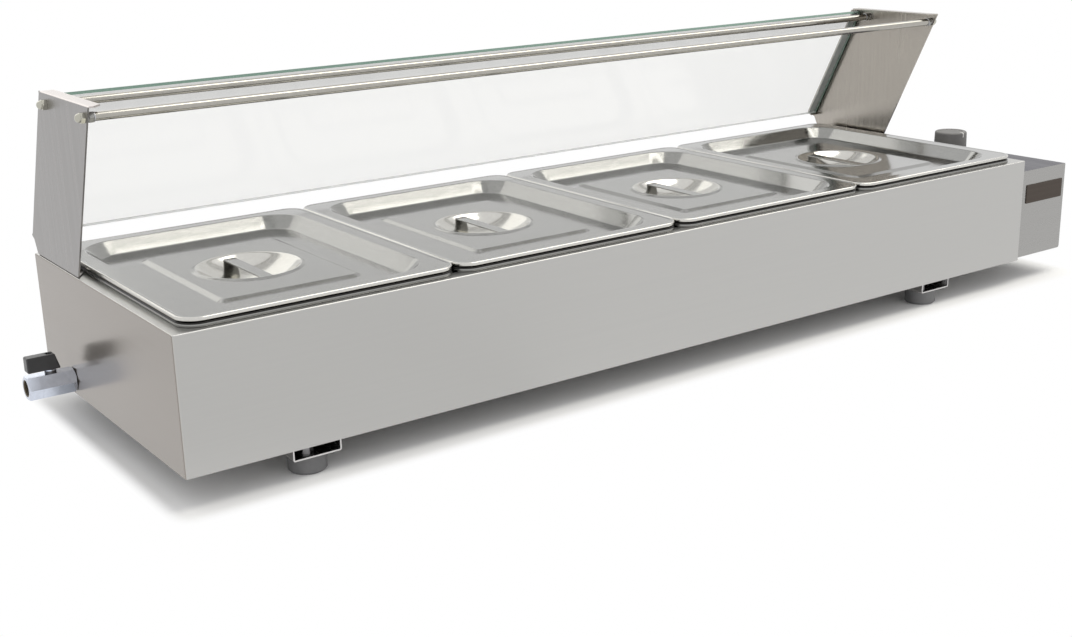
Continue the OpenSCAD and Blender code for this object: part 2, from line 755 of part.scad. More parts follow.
module bulb_clips() {
  t = 0.8;
  z = tank_floor_z - tank_t;
  color(steel) for (x = [bulb_x + bulb_l * 0.2, bulb_x + bulb_l * 0.75]) difference() {
    union() {
      bar_x(x, x + 10, pan_y, bulb_z, bulb_d + 2 * hole_gap + 2 * t);
      translate([x, pan_y - bulb_d, z - t]) cube([10, 2 * bulb_d, t]);
    }
    bar_x(x - 1, x + 11, pan_y, bulb_z, bulb_d + 0.1);
    translate([x - 1, pan_y - bulb_d / 2, bulb_z]) cube([12, bulb_d, bulb_d]);
    translate([x - 1, pan_y - 2 * bulb_d, z]) cube([12, 4 * bulb_d, bulb_d]);
  }
}

// Electrical pieces in the control box

block_x = body_l + 30;
block_y = body_d - 90;
block_w = 20;
block_l = 36;
block_h = 16;
block_z = box_base_z + box_t;

module terminal_block() {
  color([0.9, 0.9, 0.88]) difference() {
    translate([block_x, block_y, block_z]) cube([block_w, block_l, block_h]);
    for (k = [0:2]) {
      bar_x(block_x - 1, block_x + block_w + 1, block_y + 6 + 12 * k, block_z + 8, 4.4);
      bar_z(block_z + 9, block_z + block_h + 1, block_x + 5, block_y + 6 + 12 * k, 3.6);
      bar_z(block_z + 9, block_z + block_h + 1, block_x + 15, block_y + 6 + 12 * k, 3.6);
    }
  }
}

earth_x = body_l + 62;
earth_y = body_d - 40;

module earth_stud() {
  color(brass) {
    translate([earth_x, earth_y, block_z]) {
      cylinder(h = 14, d = 4);
      hexagon(8, 3.2);
      translate([0, 0, 4]) hexagon(8, 3.2);
    }
  }
}

// Ends of the internal wires
tab_z = thermostat_z - 8.2;
tab_front = [knob_centre_x, knob_y - 9, tab_z];
tab_back = [knob_centre_x, knob_y + 9, tab_z];
terminal_front = [terminal_end + 0.2, leg_y(1), element_z];
terminal_back = [terminal_end + 0.2, leg_y(element_legs), element_z];
function block_hole(k, side) =
  [side < 0 ? block_x + 4 : block_x + block_w - 4, block_y + 6 + 12 * k, block_z + 8];

module wiring($fn = 10) {
  d = 2.6;
  slack = 14;
  color([0.2, 0.25, 0.5]) {
    wire([block_hole(0, -1), [block_x - 10, block_y + 6, block_z + 8],
      [block_x - 10, block_y + 6, tab_z - slack], [tab_back[0], tab_back[1], tab_z - slack], tab_back], d);
    wire([tab_front, [tab_front[0], tab_front[1], tab_z - 10],
      [terminal_end + slack, leg_y(1), element_z + 4], [terminal_end + 8, leg_y(1), element_z],
      terminal_front], d);
    wire([block_hole(1, -1), [block_x - 5, block_y + 18, block_z + 8],
      [block_x - 5, block_y - 2, element_z - 6], [terminal_end + 8, leg_y(element_legs), element_z],
      terminal_back], d);
    wire([block_hole(2, 1), [block_x + block_w + 6, block_y + 30, block_z + 8],
      [earth_x, earth_y - 12, block_z + 9], [earth_x, earth_y - 4.8, block_z + 5.6]], d);
  }
}

module cable_gland() {
  color([0.15, 0.15, 0.16]) difference() {
    union() {
      bar_y(gland_y - 12, gland_y, gland_x, gland_z, gland_thread_d);
      translate([gland_x, gland_y, gland_z]) rotate([-90, 0, 0]) hexagon(20, gland_flange_t);
      bar_y(gland_y, gland_end - 4, gland_x, gland_z, gland_thread_d - 1);
      translate([gland_x, gland_y - box_t - 5, gland_z]) rotate([-90, 0, 0]) hexagon(20, 5);
    }
    bar_y(gland_y - 13, gland_end + 1, gland_x, gland_z, gland_bore_d);
  }
}

module gland_nut() {
  y0 = gland_y + gland_flange_t + seat_gap;
  color([0.15, 0.15, 0.16]) difference() {
    union() {
      translate([gland_x, y0, gland_z]) rotate([-90, 0, 0]) hexagon(20, 8);
      translate([gland_x, y0 + 8 - weld, gland_z]) rotate([-90, 0, 0])
        cylinder(h = gland_end - y0 - 8 + weld, d1 = 19, d2 = 13);
    }
    bar_y(y0 - 1, gland_end + 1, gland_x, gland_z, gland_bore_d + 1.5);
    bar_y(y0 - 1, gland_end - 4 + seat_gap, gland_x, gland_z, gland_thread_d - 1 + 2 * thread_gap);
  }
}

// Heating element

seal_t = 1.5;
bush_flange_d = bush_d + 5;
bush_flange_t = 5;
bush_face = tank_right - seal_t;

module heating_element() {
  r = element_pitch / 2;
  color(dark_steel) {
    for (k = [1, element_legs]) {
      bar_x(element_turn_left, body_l + 6, leg_y(k), element_z, element_d);
      bar_x(body_l, terminal_end, leg_y(k), element_z, 4);
      bar_x(bush_face - bush_flange_t, bush_face, leg_y(k), element_z, bush_flange_d);
      bar_x(bush_face - 1, tank_right + tank_t + bush_nut_t + 5, leg_y(k), element_z, bush_d);
    }
    for (k = [2, element_legs - 1])
      bar_x(element_turn_left, element_turn_right, leg_y(k), element_z, element_d);
    for (k = [1, element_legs - 1])
      translate([element_turn_left, leg_y(k) + r, element_z]) rotate([0, 0, 90])
        rotate_extrude(angle = 180) translate([r, 0]) circle(d = element_d);
    translate([element_turn_right, leg_y(2) + r, element_z]) rotate([0, 0, -90])
      rotate_extrude(angle = 180) translate([r, 0]) circle(d = element_d);
  }
}

module element_nuts() {
  x0 = tank_right + tank_t;
  color(brass) for (k = [1, element_legs]) difference() {
    hex_x(x0, x0 + bush_nut_t, leg_y(k), element_z, bush_d + 5);
    bar_x(x0 - 1, x0 + bush_nut_t + 1, leg_y(k), element_z, bush_d + 2 * thread_gap);
  }
}

module element_seals() {
  color(rubber) for (k = [1, element_legs]) difference() {
    bar_x(bush_face, tank_right, leg_y(k), element_z, bush_flange_d);
    bar_x(bush_face - 1, tank_right + 1, leg_y(k), element_z, bush_d + 2 * thread_gap);
  }
}

module element_supports() {
  t = 1.2;
  w = (element_legs - 1) * element_pitch + 30;
  color(steel) for (f = [0.22, 0.5, 0.78]) translate([body_l * f, 0, 0]) difference() {
    union() {
      translate([0, pan_y - w / 2, tank_floor_z]) cube([t, w, element_rise + element_d / 2 + 2]);
      translate([0, pan_y - w / 2, tank_floor_z]) cube([12, w, t]);
    }
    for (k = [1:element_legs]) bar_x(-1, t + 1, leg_y(k), element_z, element_d + 2 * thread_gap);
  }
}

// Drain and valve

module drain_pipe() {
  flange_t = 1.5;
  z_floor = tank_floor_z - tank_t;
  color(steel) difference() {
    union() {
      bar_z(drain_z + drain_bend_r, tank_floor_z, drain_x, drain_y, drain_pipe_d);
      bar_z(z_floor - flange_t, z_floor, drain_x, drain_y, drain_pipe_d + 10);
      translate([drain_x - drain_bend_r, drain_y, drain_z + drain_bend_r]) rotate([90, 0, 0])
        rotate_extrude(angle = -90) translate([drain_bend_r, 0]) circle(d = drain_pipe_d);
      bar_x(pipe_end_x, drain_x - drain_bend_r, drain_y, drain_z, drain_pipe_d);
    }
    bar_z(drain_z + drain_bend_r, tank_floor_z + 1, drain_x, drain_y, drain_bore_d);
    translate([drain_x - drain_bend_r, drain_y, drain_z + drain_bend_r]) rotate([90, 0, 0])
      rotate_extrude(angle = -90) translate([drain_bend_r, 0]) circle(d = drain_bore_d);
    bar_x(pipe_end_x - 1, drain_x - drain_bend_r, drain_y, drain_z, drain_bore_d);
  }
}

module valve_body() {
  wall_gap = 0.3;
  color([0.7, 0.7, 0.74]) difference() {
    union() {
      hex_x(insert_face_x, -wall_gap, drain_y, drain_z, valve_af);
      bar_z(drain_z, boss_z, stem_pos, drain_y, 2 * boss_r);
    }
    bar_x(pipe_end_x - 1, 1, drain_y, drain_z, drain_pipe_d + 2 * thread_gap);
    bar_x(stem_pos, 1, drain_y, drain_z, port_d);
    bar_x(insert_face_x - 1, stem_pos + seat_back, drain_y, drain_z, 2 * cavity_r);
    bar_z(drain_z, boss_z + 1, stem_pos, drain_y, stem_d + 2 * running_gap);
  }
}

module valve_insert() {
  spigot = stem_pos - seat_back;
  color([0.7, 0.7, 0.74]) difference() {
    union() {
      difference() {
        hex_x(valve_mouth_x, insert_face_x, drain_y, drain_z, valve_af);
        translate([valve_mouth_x, drain_y, drain_z]) rotate([0, 90, 0]) difference() {
          translate([0, 0, -1]) cylinder(h = 3, r = valve_af);
          translate([0, 0, -1]) cylinder(h = 4, r1 = valve_af / 2 - 2.4, r2 = valve_af / 2 + 1.6);
        }
      }
      bar_x(insert_face_x - 1, spigot, drain_y, drain_z, 2 * (cavity_r - thread_gap));
    }
    bar_x(valve_mouth_x - 1, valve_mouth_x + mouth_depth, drain_y, drain_z, mouth_d);
    bar_x(valve_mouth_x, spigot + 1, drain_y, drain_z, port_d);
  }
}

module valve_ball() {
  slot_w = 3;
  slot_h = 2.5;
  color([0.85, 0.85, 0.87]) translate([stem_pos, drain_y, drain_z]) difference() {
    sphere(d = ball_d);
    rotate([0, 90, 0]) cylinder(h = ball_d + 2, d = port_d, center = true);
    translate([-ball_d / 2, -slot_w / 2, ball_d / 2 - slot_h]) cube([ball_d, slot_w, slot_h + 1]);
  }
}

module valve_seats() {
  ball_face = ball_d / 2 + running_gap;
  a0 = asin(port_d / 2 / ball_face);
  a1 = acos(seat_face / ball_face);
  ring_r = cavity_r - thread_gap;
  color([0.95, 0.95, 0.93]) translate([stem_pos, drain_y, drain_z]) for (m = [0, 1])
    mirror([m, 0, 0]) rotate([0, 90, 0]) rotate_extrude() polygon(concat(
      [[port_d / 2, seat_back]],
      [for (p = arc(0, 0, ball_face, 90 - a0, 90 - a1, bend_steps)) p],
      [[ring_r, seat_face], [ring_r, seat_back]]));
}

module valve_stem() {
  tongue_w = 2.9;
  tongue_z = drain_z + ball_d / 2 - 2.4;
  color([0.7, 0.7, 0.74]) {
    difference() {
      bar_z(drain_z + ball_d / 2 + 0.1, stem_top_z, stem_pos, drain_y, stem_d);
      bar_z(stem_top_z - lever_screw_grip - 0.5, stem_top_z + 1, stem_pos, drain_y,
        lever_screw_d + 2 * thread_gap);
    }
    intersection() {
      bar_z(tongue_z, drain_z + ball_d / 2 + 1, stem_pos, drain_y, stem_d);
      translate([stem_pos - stem_d, drain_y - tongue_w / 2, tongue_z]) cube([2 * stem_d, tongue_w, 5]);
    }
  }
}

module packing_nut() {
  color(steel) difference() {
    bar_z(boss_z, boss_z + packing_t, stem_pos, drain_y, 2 * boss_r - 1);
    bar_z(boss_z - 1, boss_z + packing_t + 1, stem_pos, drain_y, stem_d + 2 * running_gap);
  }
}

lever_screw_seat = lever_z + lever_h - 4;
lever_screw_d = 3;
lever_screw_grip = 5;

module valve_lever() {
  slant = 4;
  r = 1.5;
  front = stem_pos + lever_back - lever_l;
  back = stem_pos + lever_back;
  top = lever_z + lever_h;
  color([0.18, 0.18, 0.18]) difference() {
    translate([0, drain_y + lever_w / 2, 0]) rotate([90, 0, 0]) linear_extrude(lever_w) polygon(concat(
      arc(front + r, lever_z + r, r, 180, 270, bend_steps),
      [[back, lever_z], [back, lever_z + 1.5]],
      arc(back - slant - r, top - r, r, 20, 90, bend_steps),
      arc(front + r, top - r, r, 90, 180, bend_steps)));
    bar_z(lever_z - 1, stem_top_z + 0.2, stem_pos, drain_y, stem_d + 2 * thread_gap);
    bar_z(stem_top_z - 1, top + 1, stem_pos, drain_y, lever_screw_d + 2 * hole_gap);
    bar_z(lever_screw_seat, top + 1, stem_pos, drain_y, 6.6);
  }
}

module lever_screw() {
  color(steel) translate([stem_pos, drain_y, lever_screw_seat])
    screw(lever_screw_d, 6, 2.4, lever_screw_seat - stem_top_z + lever_screw_grip);
}

// Guard

module guard_plate() {
  x0 = guard_inset;
  x1 = guard_inset + guard_t;
  top = body_h + guard_h;
  color([0.68, 0.66, 0.64]) difference() {
    union() {
      side_extrude(x0, x1) polygon([
        [guard_foot_front, body_h], [guard_foot_back, body_h], [guard_foot_back + 2, body_h + 3],
        [guard_knee_y - 6, body_h + guard_knee_h - 3.2], [guard_knee_y, body_h + guard_knee_h],
        [guard_top_back, top], [guard_top_front, top]]);
      difference() {
        translate([x0, guard_top_front, top - guard_t])
          cube([guard_top_flange, guard_top_back - guard_top_front, guard_t]);
        translate([x0 + guard_top_flange, guard_top_front, top]) rotate([0, 0, 45])
          cube([guard_top_mitre * sqrt(2), guard_top_mitre * sqrt(2), 3 * guard_t], center = true);
      }
      translate([0, 0, body_h]) linear_extrude(guard_t) polygon([
        [x0, guard_foot_front], [x1, guard_foot_front + 1],
        [x0 + guard_foot_flange, guard_foot_front + guard_foot_mitre],
        [x0 + guard_foot_flange, guard_foot_back], [x0, guard_foot_back]]);
      leaning() {
        translate([x0, -guard_t, lean_foot]) cube([guard_back_flange, guard_t, lean_top - lean_foot]);
        translate([x0, -glass_front - 1, lean_foot]) cube([guard_back_flange, glass_front + 1, guard_t]);
      }
    }
    for (y = [front_rod_y, back_rod_y]) bar_x(x0 - 1, x1 + 1, y, rod_z, rod_thread_d + 2 * thread_gap);
    for (y = [guard_screw_front, guard_screw_back])
      bar_z(body_h - 1, body_h + guard_t + 1, guard_screw_x, y, guard_screw_d + 2 * hole_gap);
  }
}

module guard_plate_left() { guard_plate(); }
module guard_plate_right() { at_right() guard_plate(); }

module guard_screws() {
  nut_t = 4;
  z_deck = body_h - casing_t;
  color(steel) at_both_ends() for (y = [guard_screw_front, guard_screw_back]) {
    translate([guard_screw_x, y, body_h + guard_t])
      screw(guard_screw_d, 7.6, 2.6, guard_t + casing_t + nut_t + 1);
    translate([guard_screw_x, y, z_deck - nut_t]) difference() {
      hexagon(7, nut_t);
      translate([0, 0, -1]) cylinder(h = nut_t + 2, d = guard_screw_d + 2 * thread_gap);
    }
  }
}

glass_x = guard_inner + glass_gap;
glass_low = lean_foot + guard_t;
glass_high = lean_top - glass_top_gap;

module glass_pane() {
  color([0.75, 0.9, 0.85, 0.35]) leaning() translate([glass_x, -glass_front, glass_low])
    cube([body_l - 2 * glass_x, glass_t, glass_high - glass_low]);
}

module glass_strips() {
  color([0.8, 0.8, 0.8]) at_both_ends() leaning()
    translate([glass_x, -guard_t - pad_t, glass_low])
      cube([guard_inset + guard_back_flange - glass_x, pad_t, glass_high - glass_low]);
}

module tie_rod(y) {
  thread_end = guard_inset - dome_nut_l + 3;
  color(steel) {
    bar_x(rod_end, body_l - rod_end, y, rod_z, rod_d);
    at_both_ends() bar_x(thread_end, rod_end + 1, y, rod_z, rod_thread_d);
  }
}

module front_rod() { tie_rod(front_rod_y); }
module back_rod() { tie_rod(back_rod_y); }

module at_rod_ends() {
  at_both_ends() for (y = [front_rod_y, back_rod_y]) translate([0, y, rod_z]) children();
}

module rod_nuts() {
  x0 = guard_inner + rod_washer_t;
  color(steel) at_rod_ends() difference() {
    hex_x(x0, x0 + rod_nut_t, 0, 0, rod_nut_af);
    bar_x(x0 - 1, x0 + rod_nut_t + 1, 0, 0, rod_thread_d + 2 * thread_gap);
  }
}

module rod_washers() {
  color(dark_steel) at_rod_ends()
    for (x = [guard_inner, guard_inner + rod_washer_t + rod_nut_t]) difference() {
      bar_x(x, x + rod_washer_t, 0, 0, rod_nut_af);
      bar_x(x - 1, x + rod_washer_t + 1, 0, 0, rod_thread_d + 2 * thread_gap);
    }
}

module dome_nuts() {
  hex_l = dome_nut_l * 0.5;
  dome_r = min(rod_nut_af * 0.45, dome_nut_l - hex_l);
  color(steel) at_rod_ends() difference() {
    union() {
      hex_x(guard_inset - hex_l, guard_inset, 0, 0, rod_nut_af);
      bar_x(guard_inset - dome_nut_l + dome_r, guard_inset - hex_l + weld, 0, 0, 2 * dome_r);
      translate([guard_inset - dome_nut_l + dome_r, 0, 0]) sphere(dome_r);
    }
    bar_x(guard_inset - dome_nut_l + 2.5, guard_inset + 1, 0, 0, rod_thread_d + 2 * thread_gap);
  }
}

// Pans and lids

module pan(i) {
  r_low = pan_corner_r - pan_taper;
  z_floor = rim_z - pan_depth;
  fr = pan_floor_r;
  wall = concat(
    [[pan_corner_r - pan_t, rim_z], [pan_corner_r, rim_z]],
    arc(r_low - fr, z_floor + fr, fr, 0, -90, bend_steps),
    [[r_low - fr - 2 * weld, z_floor], [r_low - fr - 2 * weld, z_floor + pan_t]],
    arc(r_low - fr, z_floor + fr, fr - pan_t, -90, 0, bend_steps));
  floor_r = r_low - fr - weld;
  bend = pan_bend_r;
  color(steel) translate([pan_x(i), pan_y, 0]) {
    swept(pan_w, pan_l, rim_corner_r, edge_profile(rim_corner_r, bend, pan_t, rim_z, body_h + seat_gap));
    difference() {
      rounded_plate(pan_w - 2 * bend - weld, pan_l - 2 * bend - weld, rim_corner_r - bend - weld / 2,
        rim_z - pan_t, pan_t);
      rounded_plate(pan_body_w - pan_t, pan_body_l - pan_t, pan_corner_r - pan_t / 2, rim_z - 3, 5);
    }
    swept(pan_body_w, pan_body_l, pan_corner_r, wall);
    rounded_plate(pan_body_w - 2 * (pan_corner_r - floor_r), pan_body_l - 2 * (pan_corner_r - floor_r),
      floor_r, z_floor, pan_t);
  }
}

module lid(i) {
  dish_w = pan_w - 2 * lid_flange_x;
  dish_l = pan_l - 2 * lid_flange_y;
  low_r = lid_dish_r - lid_slope_w;
  panel_r = lid_panel_r - lid_panel_slope;
  bend = lid_edge_r;
  lip_r = bowl_r + bowl_lip_w;
  color([0.8, 0.8, 0.79]) translate([pan_x(i), pan_y, 0]) {
    swept(pan_w, pan_l, rim_corner_r, edge_profile(rim_corner_r, bend, pan_t, lid_z, lid_z - lid_edge_h));
    swept(pan_w, pan_l, rim_corner_r, [
      for (q = [[lid_hem_w, 0], [weld / 2, 0], [weld / 2, pan_t], [lid_hem_w, pan_t]])
        [rim_corner_r - q[0], lid_z - lid_edge_h + q[1]]]);
    difference() {
      rounded_plate(pan_w - 2 * bend - weld, pan_l - 2 * bend - weld, rim_corner_r - bend - weld / 2,
        lid_z - pan_t, pan_t);
      rounded_plate(dish_w + weld, dish_l + weld, lid_dish_r + weld / 2, lid_z - 3, 5);
    }
    swept(dish_w, dish_l, lid_dish_r, step_profile(lid_dish_r, low_r, lid_z, lid_floor_z, pan_t));
    difference() {
      rounded_plate(dish_w - 2 * lid_slope_w - weld, dish_l - 2 * lid_slope_w - weld, low_r - weld / 2,
        lid_floor_z - pan_t, pan_t);
      rounded_plate(lid_panel_w + weld, lid_panel_l + weld, lid_panel_r + weld / 2, lid_floor_z - 3, 5);
    }
    swept(lid_panel_w, lid_panel_l, lid_panel_r,
      step_profile(lid_panel_r, panel_r, lid_floor_z, lid_panel_z, pan_t));
    difference() {
      rounded_plate(lid_panel_w - 2 * lid_panel_slope - weld, lid_panel_l - 2 * lid_panel_slope - weld,
        panel_r - weld / 2, lid_panel_z - pan_t, pan_t);
      bar_z(lid_panel_z - 3, lid_panel_z + 2, 0, 0, 2 * (lip_r - weld / 2));
    }
    rotate_extrude() polygon(concat(
      [[lip_r, lid_panel_z - pan_t], [lip_r, lid_panel_z]],
      [for (k = [0:bend_steps]) let (f = k / bend_steps)
        [lip_r - 1 - f * (bowl_lip_w - 1), lid_panel_z + bowl_lip_h * sin(180 * f) - 0.5 * f]],
      [for (k = [1:8]) let (a = asin(bowl_r / bowl_sphere_r) * (1 - k / 8))
        [bowl_sphere_r * sin(a), bowl_centre_z - bowl_sphere_r * cos(a)]],
      [for (k = [8:-1:0]) let (a = asin(bowl_r / bowl_sphere_r) * (1 - k / 8))
        [(bowl_sphere_r + pan_t) * sin(a), bowl_centre_z - (bowl_sphere_r + pan_t) * cos(a)]]));
  }
}

module lid_handle(i) {
  top = bowl_mouth_z - strap_drop;
  color([0.8, 0.8, 0.79]) translate([pan_x(i), pan_y, 0]) intersection() {
    translate([-strap_w / 2, -bowl_r, top - strap_t]) cube([strap_w, 2 * bowl_r, strap_t]);
    translate([0, 0, bowl_centre_z]) sphere(bowl_sphere_r - 0.15);
  }
}

place() outer_casing();
place() base_plate();
place() inner_tank();
place() insulation();
place() channel_left();
place() channel_right();
place() feet();
place() foot_screws();
place() foot_nuts();
place() control_box();
place() control_box_base();
place() box_screws();
place() bare_plate();
place() thermostat_body();
place() thermostat_shaft();
place() thermostat_screws();
place() knob();
place() sensing_bulb();
place() bulb_clips();
place() terminal_block();
place() wiring();
place() earth_stud();
place() cable_gland();
place() gland_nut();
place() heating_element();
place() element_nuts();
place() element_seals();
place() element_supports();
place() drain_pipe();
place() valve_body();
place() valve_insert();
place() valve_ball();
place() valve_seats();
place() valve_stem();
place() packing_nut();
place() valve_lever();
place() lever_screw();
place() guard_plate_left();
place() guard_plate_right();
place() glass_pane();
place() glass_strips();
place() front_rod();
place() back_rod();
place() rod_nuts();
place() rod_washers();
place() dome_nuts();
place() guard_screws();
place() pan(1);  // pan_1
place() pan(2);  // pan_2
place() pan(3);  // pan_3
place() pan(4);  // pan_4
place() lid(1);  // lid_1
place() lid(2);  // lid_2
place() lid(3);  // lid_3
place() lid(4);  // lid_4
place() lid_handle(1);  // lid_handle_1
place() lid_handle(2);  // lid_handle_2
place() lid_handle(3);  // lid_handle_3
place() lid_handle(4);  // lid_handle_4
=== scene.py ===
"""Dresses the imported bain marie: pressed pans and lids, brushed casing, glass guard, drain valve and knob.

Sizes are in millimetres, measured from the casing's lower front left corner, with X along the casing, Y to
the back and Z up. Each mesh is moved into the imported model's own frame, in metres, when it is finished.
"""
import logging
import math
from dataclasses import dataclass
from enum import Enum
from typing import Callable, Iterable, Sequence

import bmesh
import bpy
from mathutils import Matrix, Vector


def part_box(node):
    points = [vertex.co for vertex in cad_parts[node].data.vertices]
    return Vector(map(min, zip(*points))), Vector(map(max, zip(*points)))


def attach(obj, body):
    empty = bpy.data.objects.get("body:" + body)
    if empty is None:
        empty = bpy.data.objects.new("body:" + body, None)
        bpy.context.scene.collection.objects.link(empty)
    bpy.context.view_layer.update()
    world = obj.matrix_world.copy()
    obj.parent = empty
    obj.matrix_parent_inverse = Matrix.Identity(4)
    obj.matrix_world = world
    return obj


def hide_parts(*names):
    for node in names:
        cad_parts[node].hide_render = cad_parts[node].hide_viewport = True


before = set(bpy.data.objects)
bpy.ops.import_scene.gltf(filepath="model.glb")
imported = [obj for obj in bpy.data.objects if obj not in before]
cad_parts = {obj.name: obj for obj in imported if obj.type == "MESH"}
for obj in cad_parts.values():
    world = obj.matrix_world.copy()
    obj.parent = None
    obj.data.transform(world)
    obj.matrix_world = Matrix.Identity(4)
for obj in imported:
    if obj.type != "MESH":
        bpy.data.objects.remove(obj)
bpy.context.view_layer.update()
LOG = logging.getLogger("bain_marie")
MM = 0.001
# A face looks along an axis from the first share of its normal on, and is square to it from the second.
FACING, SQUARE = 0.7, 0.9
# Points that are closer together than this are one point.
MERGE = 0.0005
# No round of a pressed sheet has a tighter corner than this.
LEAST_RADIUS = 0.6
Colour = tuple[float, float, float]
Point = tuple[float, float, float]
Pair = tuple[float, float]


class Axis(Enum):
    """An axis of the object."""

    X = 0
    Y = 1
    Z = 2

    def turn(self) -> Matrix:
        """The rotation that brings +Z to this axis."""
        way = Vector([float(k == self.value) for k in range(3)])
        return Vector((0, 0, 1)).rotation_difference(way).to_matrix().to_4x4()


class Origin:
    """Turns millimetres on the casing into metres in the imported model's frame."""

    corner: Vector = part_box("outer_casing")[0]

    @classmethod
    def matrix(cls) -> Matrix:
        """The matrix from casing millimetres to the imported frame."""
        return Matrix.Translation(cls.corner) @ Matrix.Scale(MM, 4)

    @classmethod
    def box(cls, node: str) -> tuple[Vector, Vector]:
        """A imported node's lowest and highest corner, in casing millimetres."""
        back = cls.matrix().inverted()
        return tuple(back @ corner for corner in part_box(node))

    @classmethod
    def casing(cls) -> Vector:
        """The casing's size."""
        return cls.box("outer_casing")[1]


def placed(name: str, data: bpy.types.ID) -> bpy.types.Object:
    """A new object in the scene."""
    made = bpy.data.objects.new(name, data)
    bpy.context.scene.collection.objects.link(made)
    return made


class Link:
    """A shader socket that can stand in Python arithmetic."""

    def __init__(self, sheet: "NodeSheet", socket: bpy.types.NodeSocket) -> None:
        """Wraps an output socket of a node tree."""
        self.sheet = sheet
        self.socket = socket

    def _math(self, operation: str, first: object, second: object) -> "Link":
        """A Math node on two numbers or links."""
        return self.sheet.link("ShaderNodeMath", {"operation": operation}, {0: first, 1: second})

    def __add__(self, other: object) -> "Link":
        """self + other."""
        return self._math("ADD", self, other)

    def __radd__(self, other: object) -> "Link":
        """other + self."""
        return self._math("ADD", other, self)

    def __mul__(self, other: object) -> "Link":
        """self * other."""
        return self._math("MULTIPLY", self, other)

    def __rmul__(self, other: object) -> "Link":
        """other * self."""
        return self._math("MULTIPLY", other, self)

    def top(self, other: object) -> "Link":
        """The greater of self and other."""
        return self._math("MAXIMUM", self, other)


def tint(colour: Colour, factor: float) -> tuple[float, float, float, float]:
    """A colour made lighter or darker by a factor, and opaque."""
    return (*(min(part * factor, 1.0) for part in colour), 1.0)


class NodeSheet:
    """The node tree of one material or of the world."""

    def __init__(self, owner: bpy.types.Material | bpy.types.World,
                 output: str = "ShaderNodeOutputMaterial") -> None:
        """Empties the owner's tree and gives it an output node."""
        owner.use_nodes = True
        self.tree = owner.node_tree
        self.tree.nodes.clear()
        self.output = self.tree.nodes.new(output)

    def link(self, kind: str, settings: dict[str, object], inputs: dict[object, object],
             output: int | str = 0) -> Link:
        """Adds a node.

        Args:
            kind: The node's type.
            settings: Its properties, which are set before its sockets.
            inputs: Values or links by socket name or number.
            output: The name or number of the output that is wanted.

        Returns:
            That output.
        """
        made = self.tree.nodes.new(kind)
        for key, value in settings.items():
            setattr(made, key, value)
        for key, value in inputs.items():
            socket = made.inputs[key]
            if isinstance(value, Link):
                self.tree.links.new(value.socket, socket)
            else:
                socket.default_value = value
        return Link(self, made.outputs[output])

    def place(self, stretch: Point = (1.0, 1.0, 1.0)) -> Link:
        """Object coordinates, stretched by a scale along each axis."""
        source = self.link("ShaderNodeTexCoord", {}, {}, "Object")
        return self.link("ShaderNodeMapping", {}, {"Vector": source, "Scale": stretch})

    def noise(self, scale: float, detail: float, rough: float, stretch: Point = (1.0, 1.0, 1.0)) -> Link:
        """A noise value between 0 and 1 over the stretched object coordinates."""
        return self.link("ShaderNodeTexNoise", {}, {"Vector": self.place(stretch), "Scale": scale,
                                                    "Detail": detail, "Roughness": rough})

    def ramp(self, value: Link, low: float, high: float) -> Link:
        """A value spread from low and high to 0 and 1, smoothly."""
        return self.link("ShaderNodeMapRange", {"interpolation_type": "SMOOTHSTEP"},
                         {"Value": value, "From Min": low, "From Max": high})

    def vector(self, operation: str, first: Link, second: Point, output: str = "Vector") -> Link:
        """A Vector Math node."""
        return self.link("ShaderNodeVectorMath", {"operation": operation}, {0: first, 1: second}, output)

    def shades(self, factor: Link, colour: Colour, low: float, high: float) -> Link:
        """A colour between two tints of one colour, where the factor is 0 and where it is 1."""
        return self.link("ShaderNodeMix", {"data_type": "RGBA"},
                         {"Factor": factor, 6: tint(colour, low), 7: tint(colour, high)}, 2)

    def uneven(self, mean: float, *parts: tuple[Link, float]) -> Link:
        """A roughness that strays to both sides of its mean.

        Args:
            mean: The roughness where every link is one half.
            parts: Each link with the width of its share.

        Returns:
            The sum of the shares.
        """
        return sum((link * width for link, width in parts), mean - sum(width for _, width in parts) / 2)

    def bump(self, height: Link, strength: float, distance: float) -> Link:
        """A normal bent by a height, with the distance in metres."""
        return self.link("ShaderNodeBump", {}, {"Height": height, "Strength": strength, "Distance": distance})

    def seen(self) -> Link:
        """1 for a ray that shows a surface: straight from the camera, in a reflection or through glass."""
        straight, mirrored, through = (self.link("ShaderNodeLightPath", {}, {}, f"Is {kind} Ray")
                                       for kind in ("Camera", "Glossy", "Transmission"))
        return straight.top(mirrored).top(through)

    def end(self, shader: Link) -> None:
        """Ends the tree with a shader."""
        self.tree.links.new(shader.socket, self.output.inputs["Surface"])

    def surface(self, inputs: dict[object, object]) -> None:
        """Ends the tree with a Principled shader."""
        self.end(self.link("ShaderNodeBsdfPrincipled", {}, inputs))


@dataclass(frozen=True)
class Finish:
    """A finish that every piece of one sort shares."""

    name: str
    slot: str
    colour: Colour

    def shade(self, sheet: NodeSheet) -> None:
        """Builds the finish's nodes."""
        raise NotImplementedError

    def material(self) -> bpy.types.Material:
        """The finish's material, made once."""
        found = bpy.data.materials.get(self.name)
        if found is None:
            found = bpy.data.materials.new(self.name)
            self.shade(NodeSheet(found))
        return found


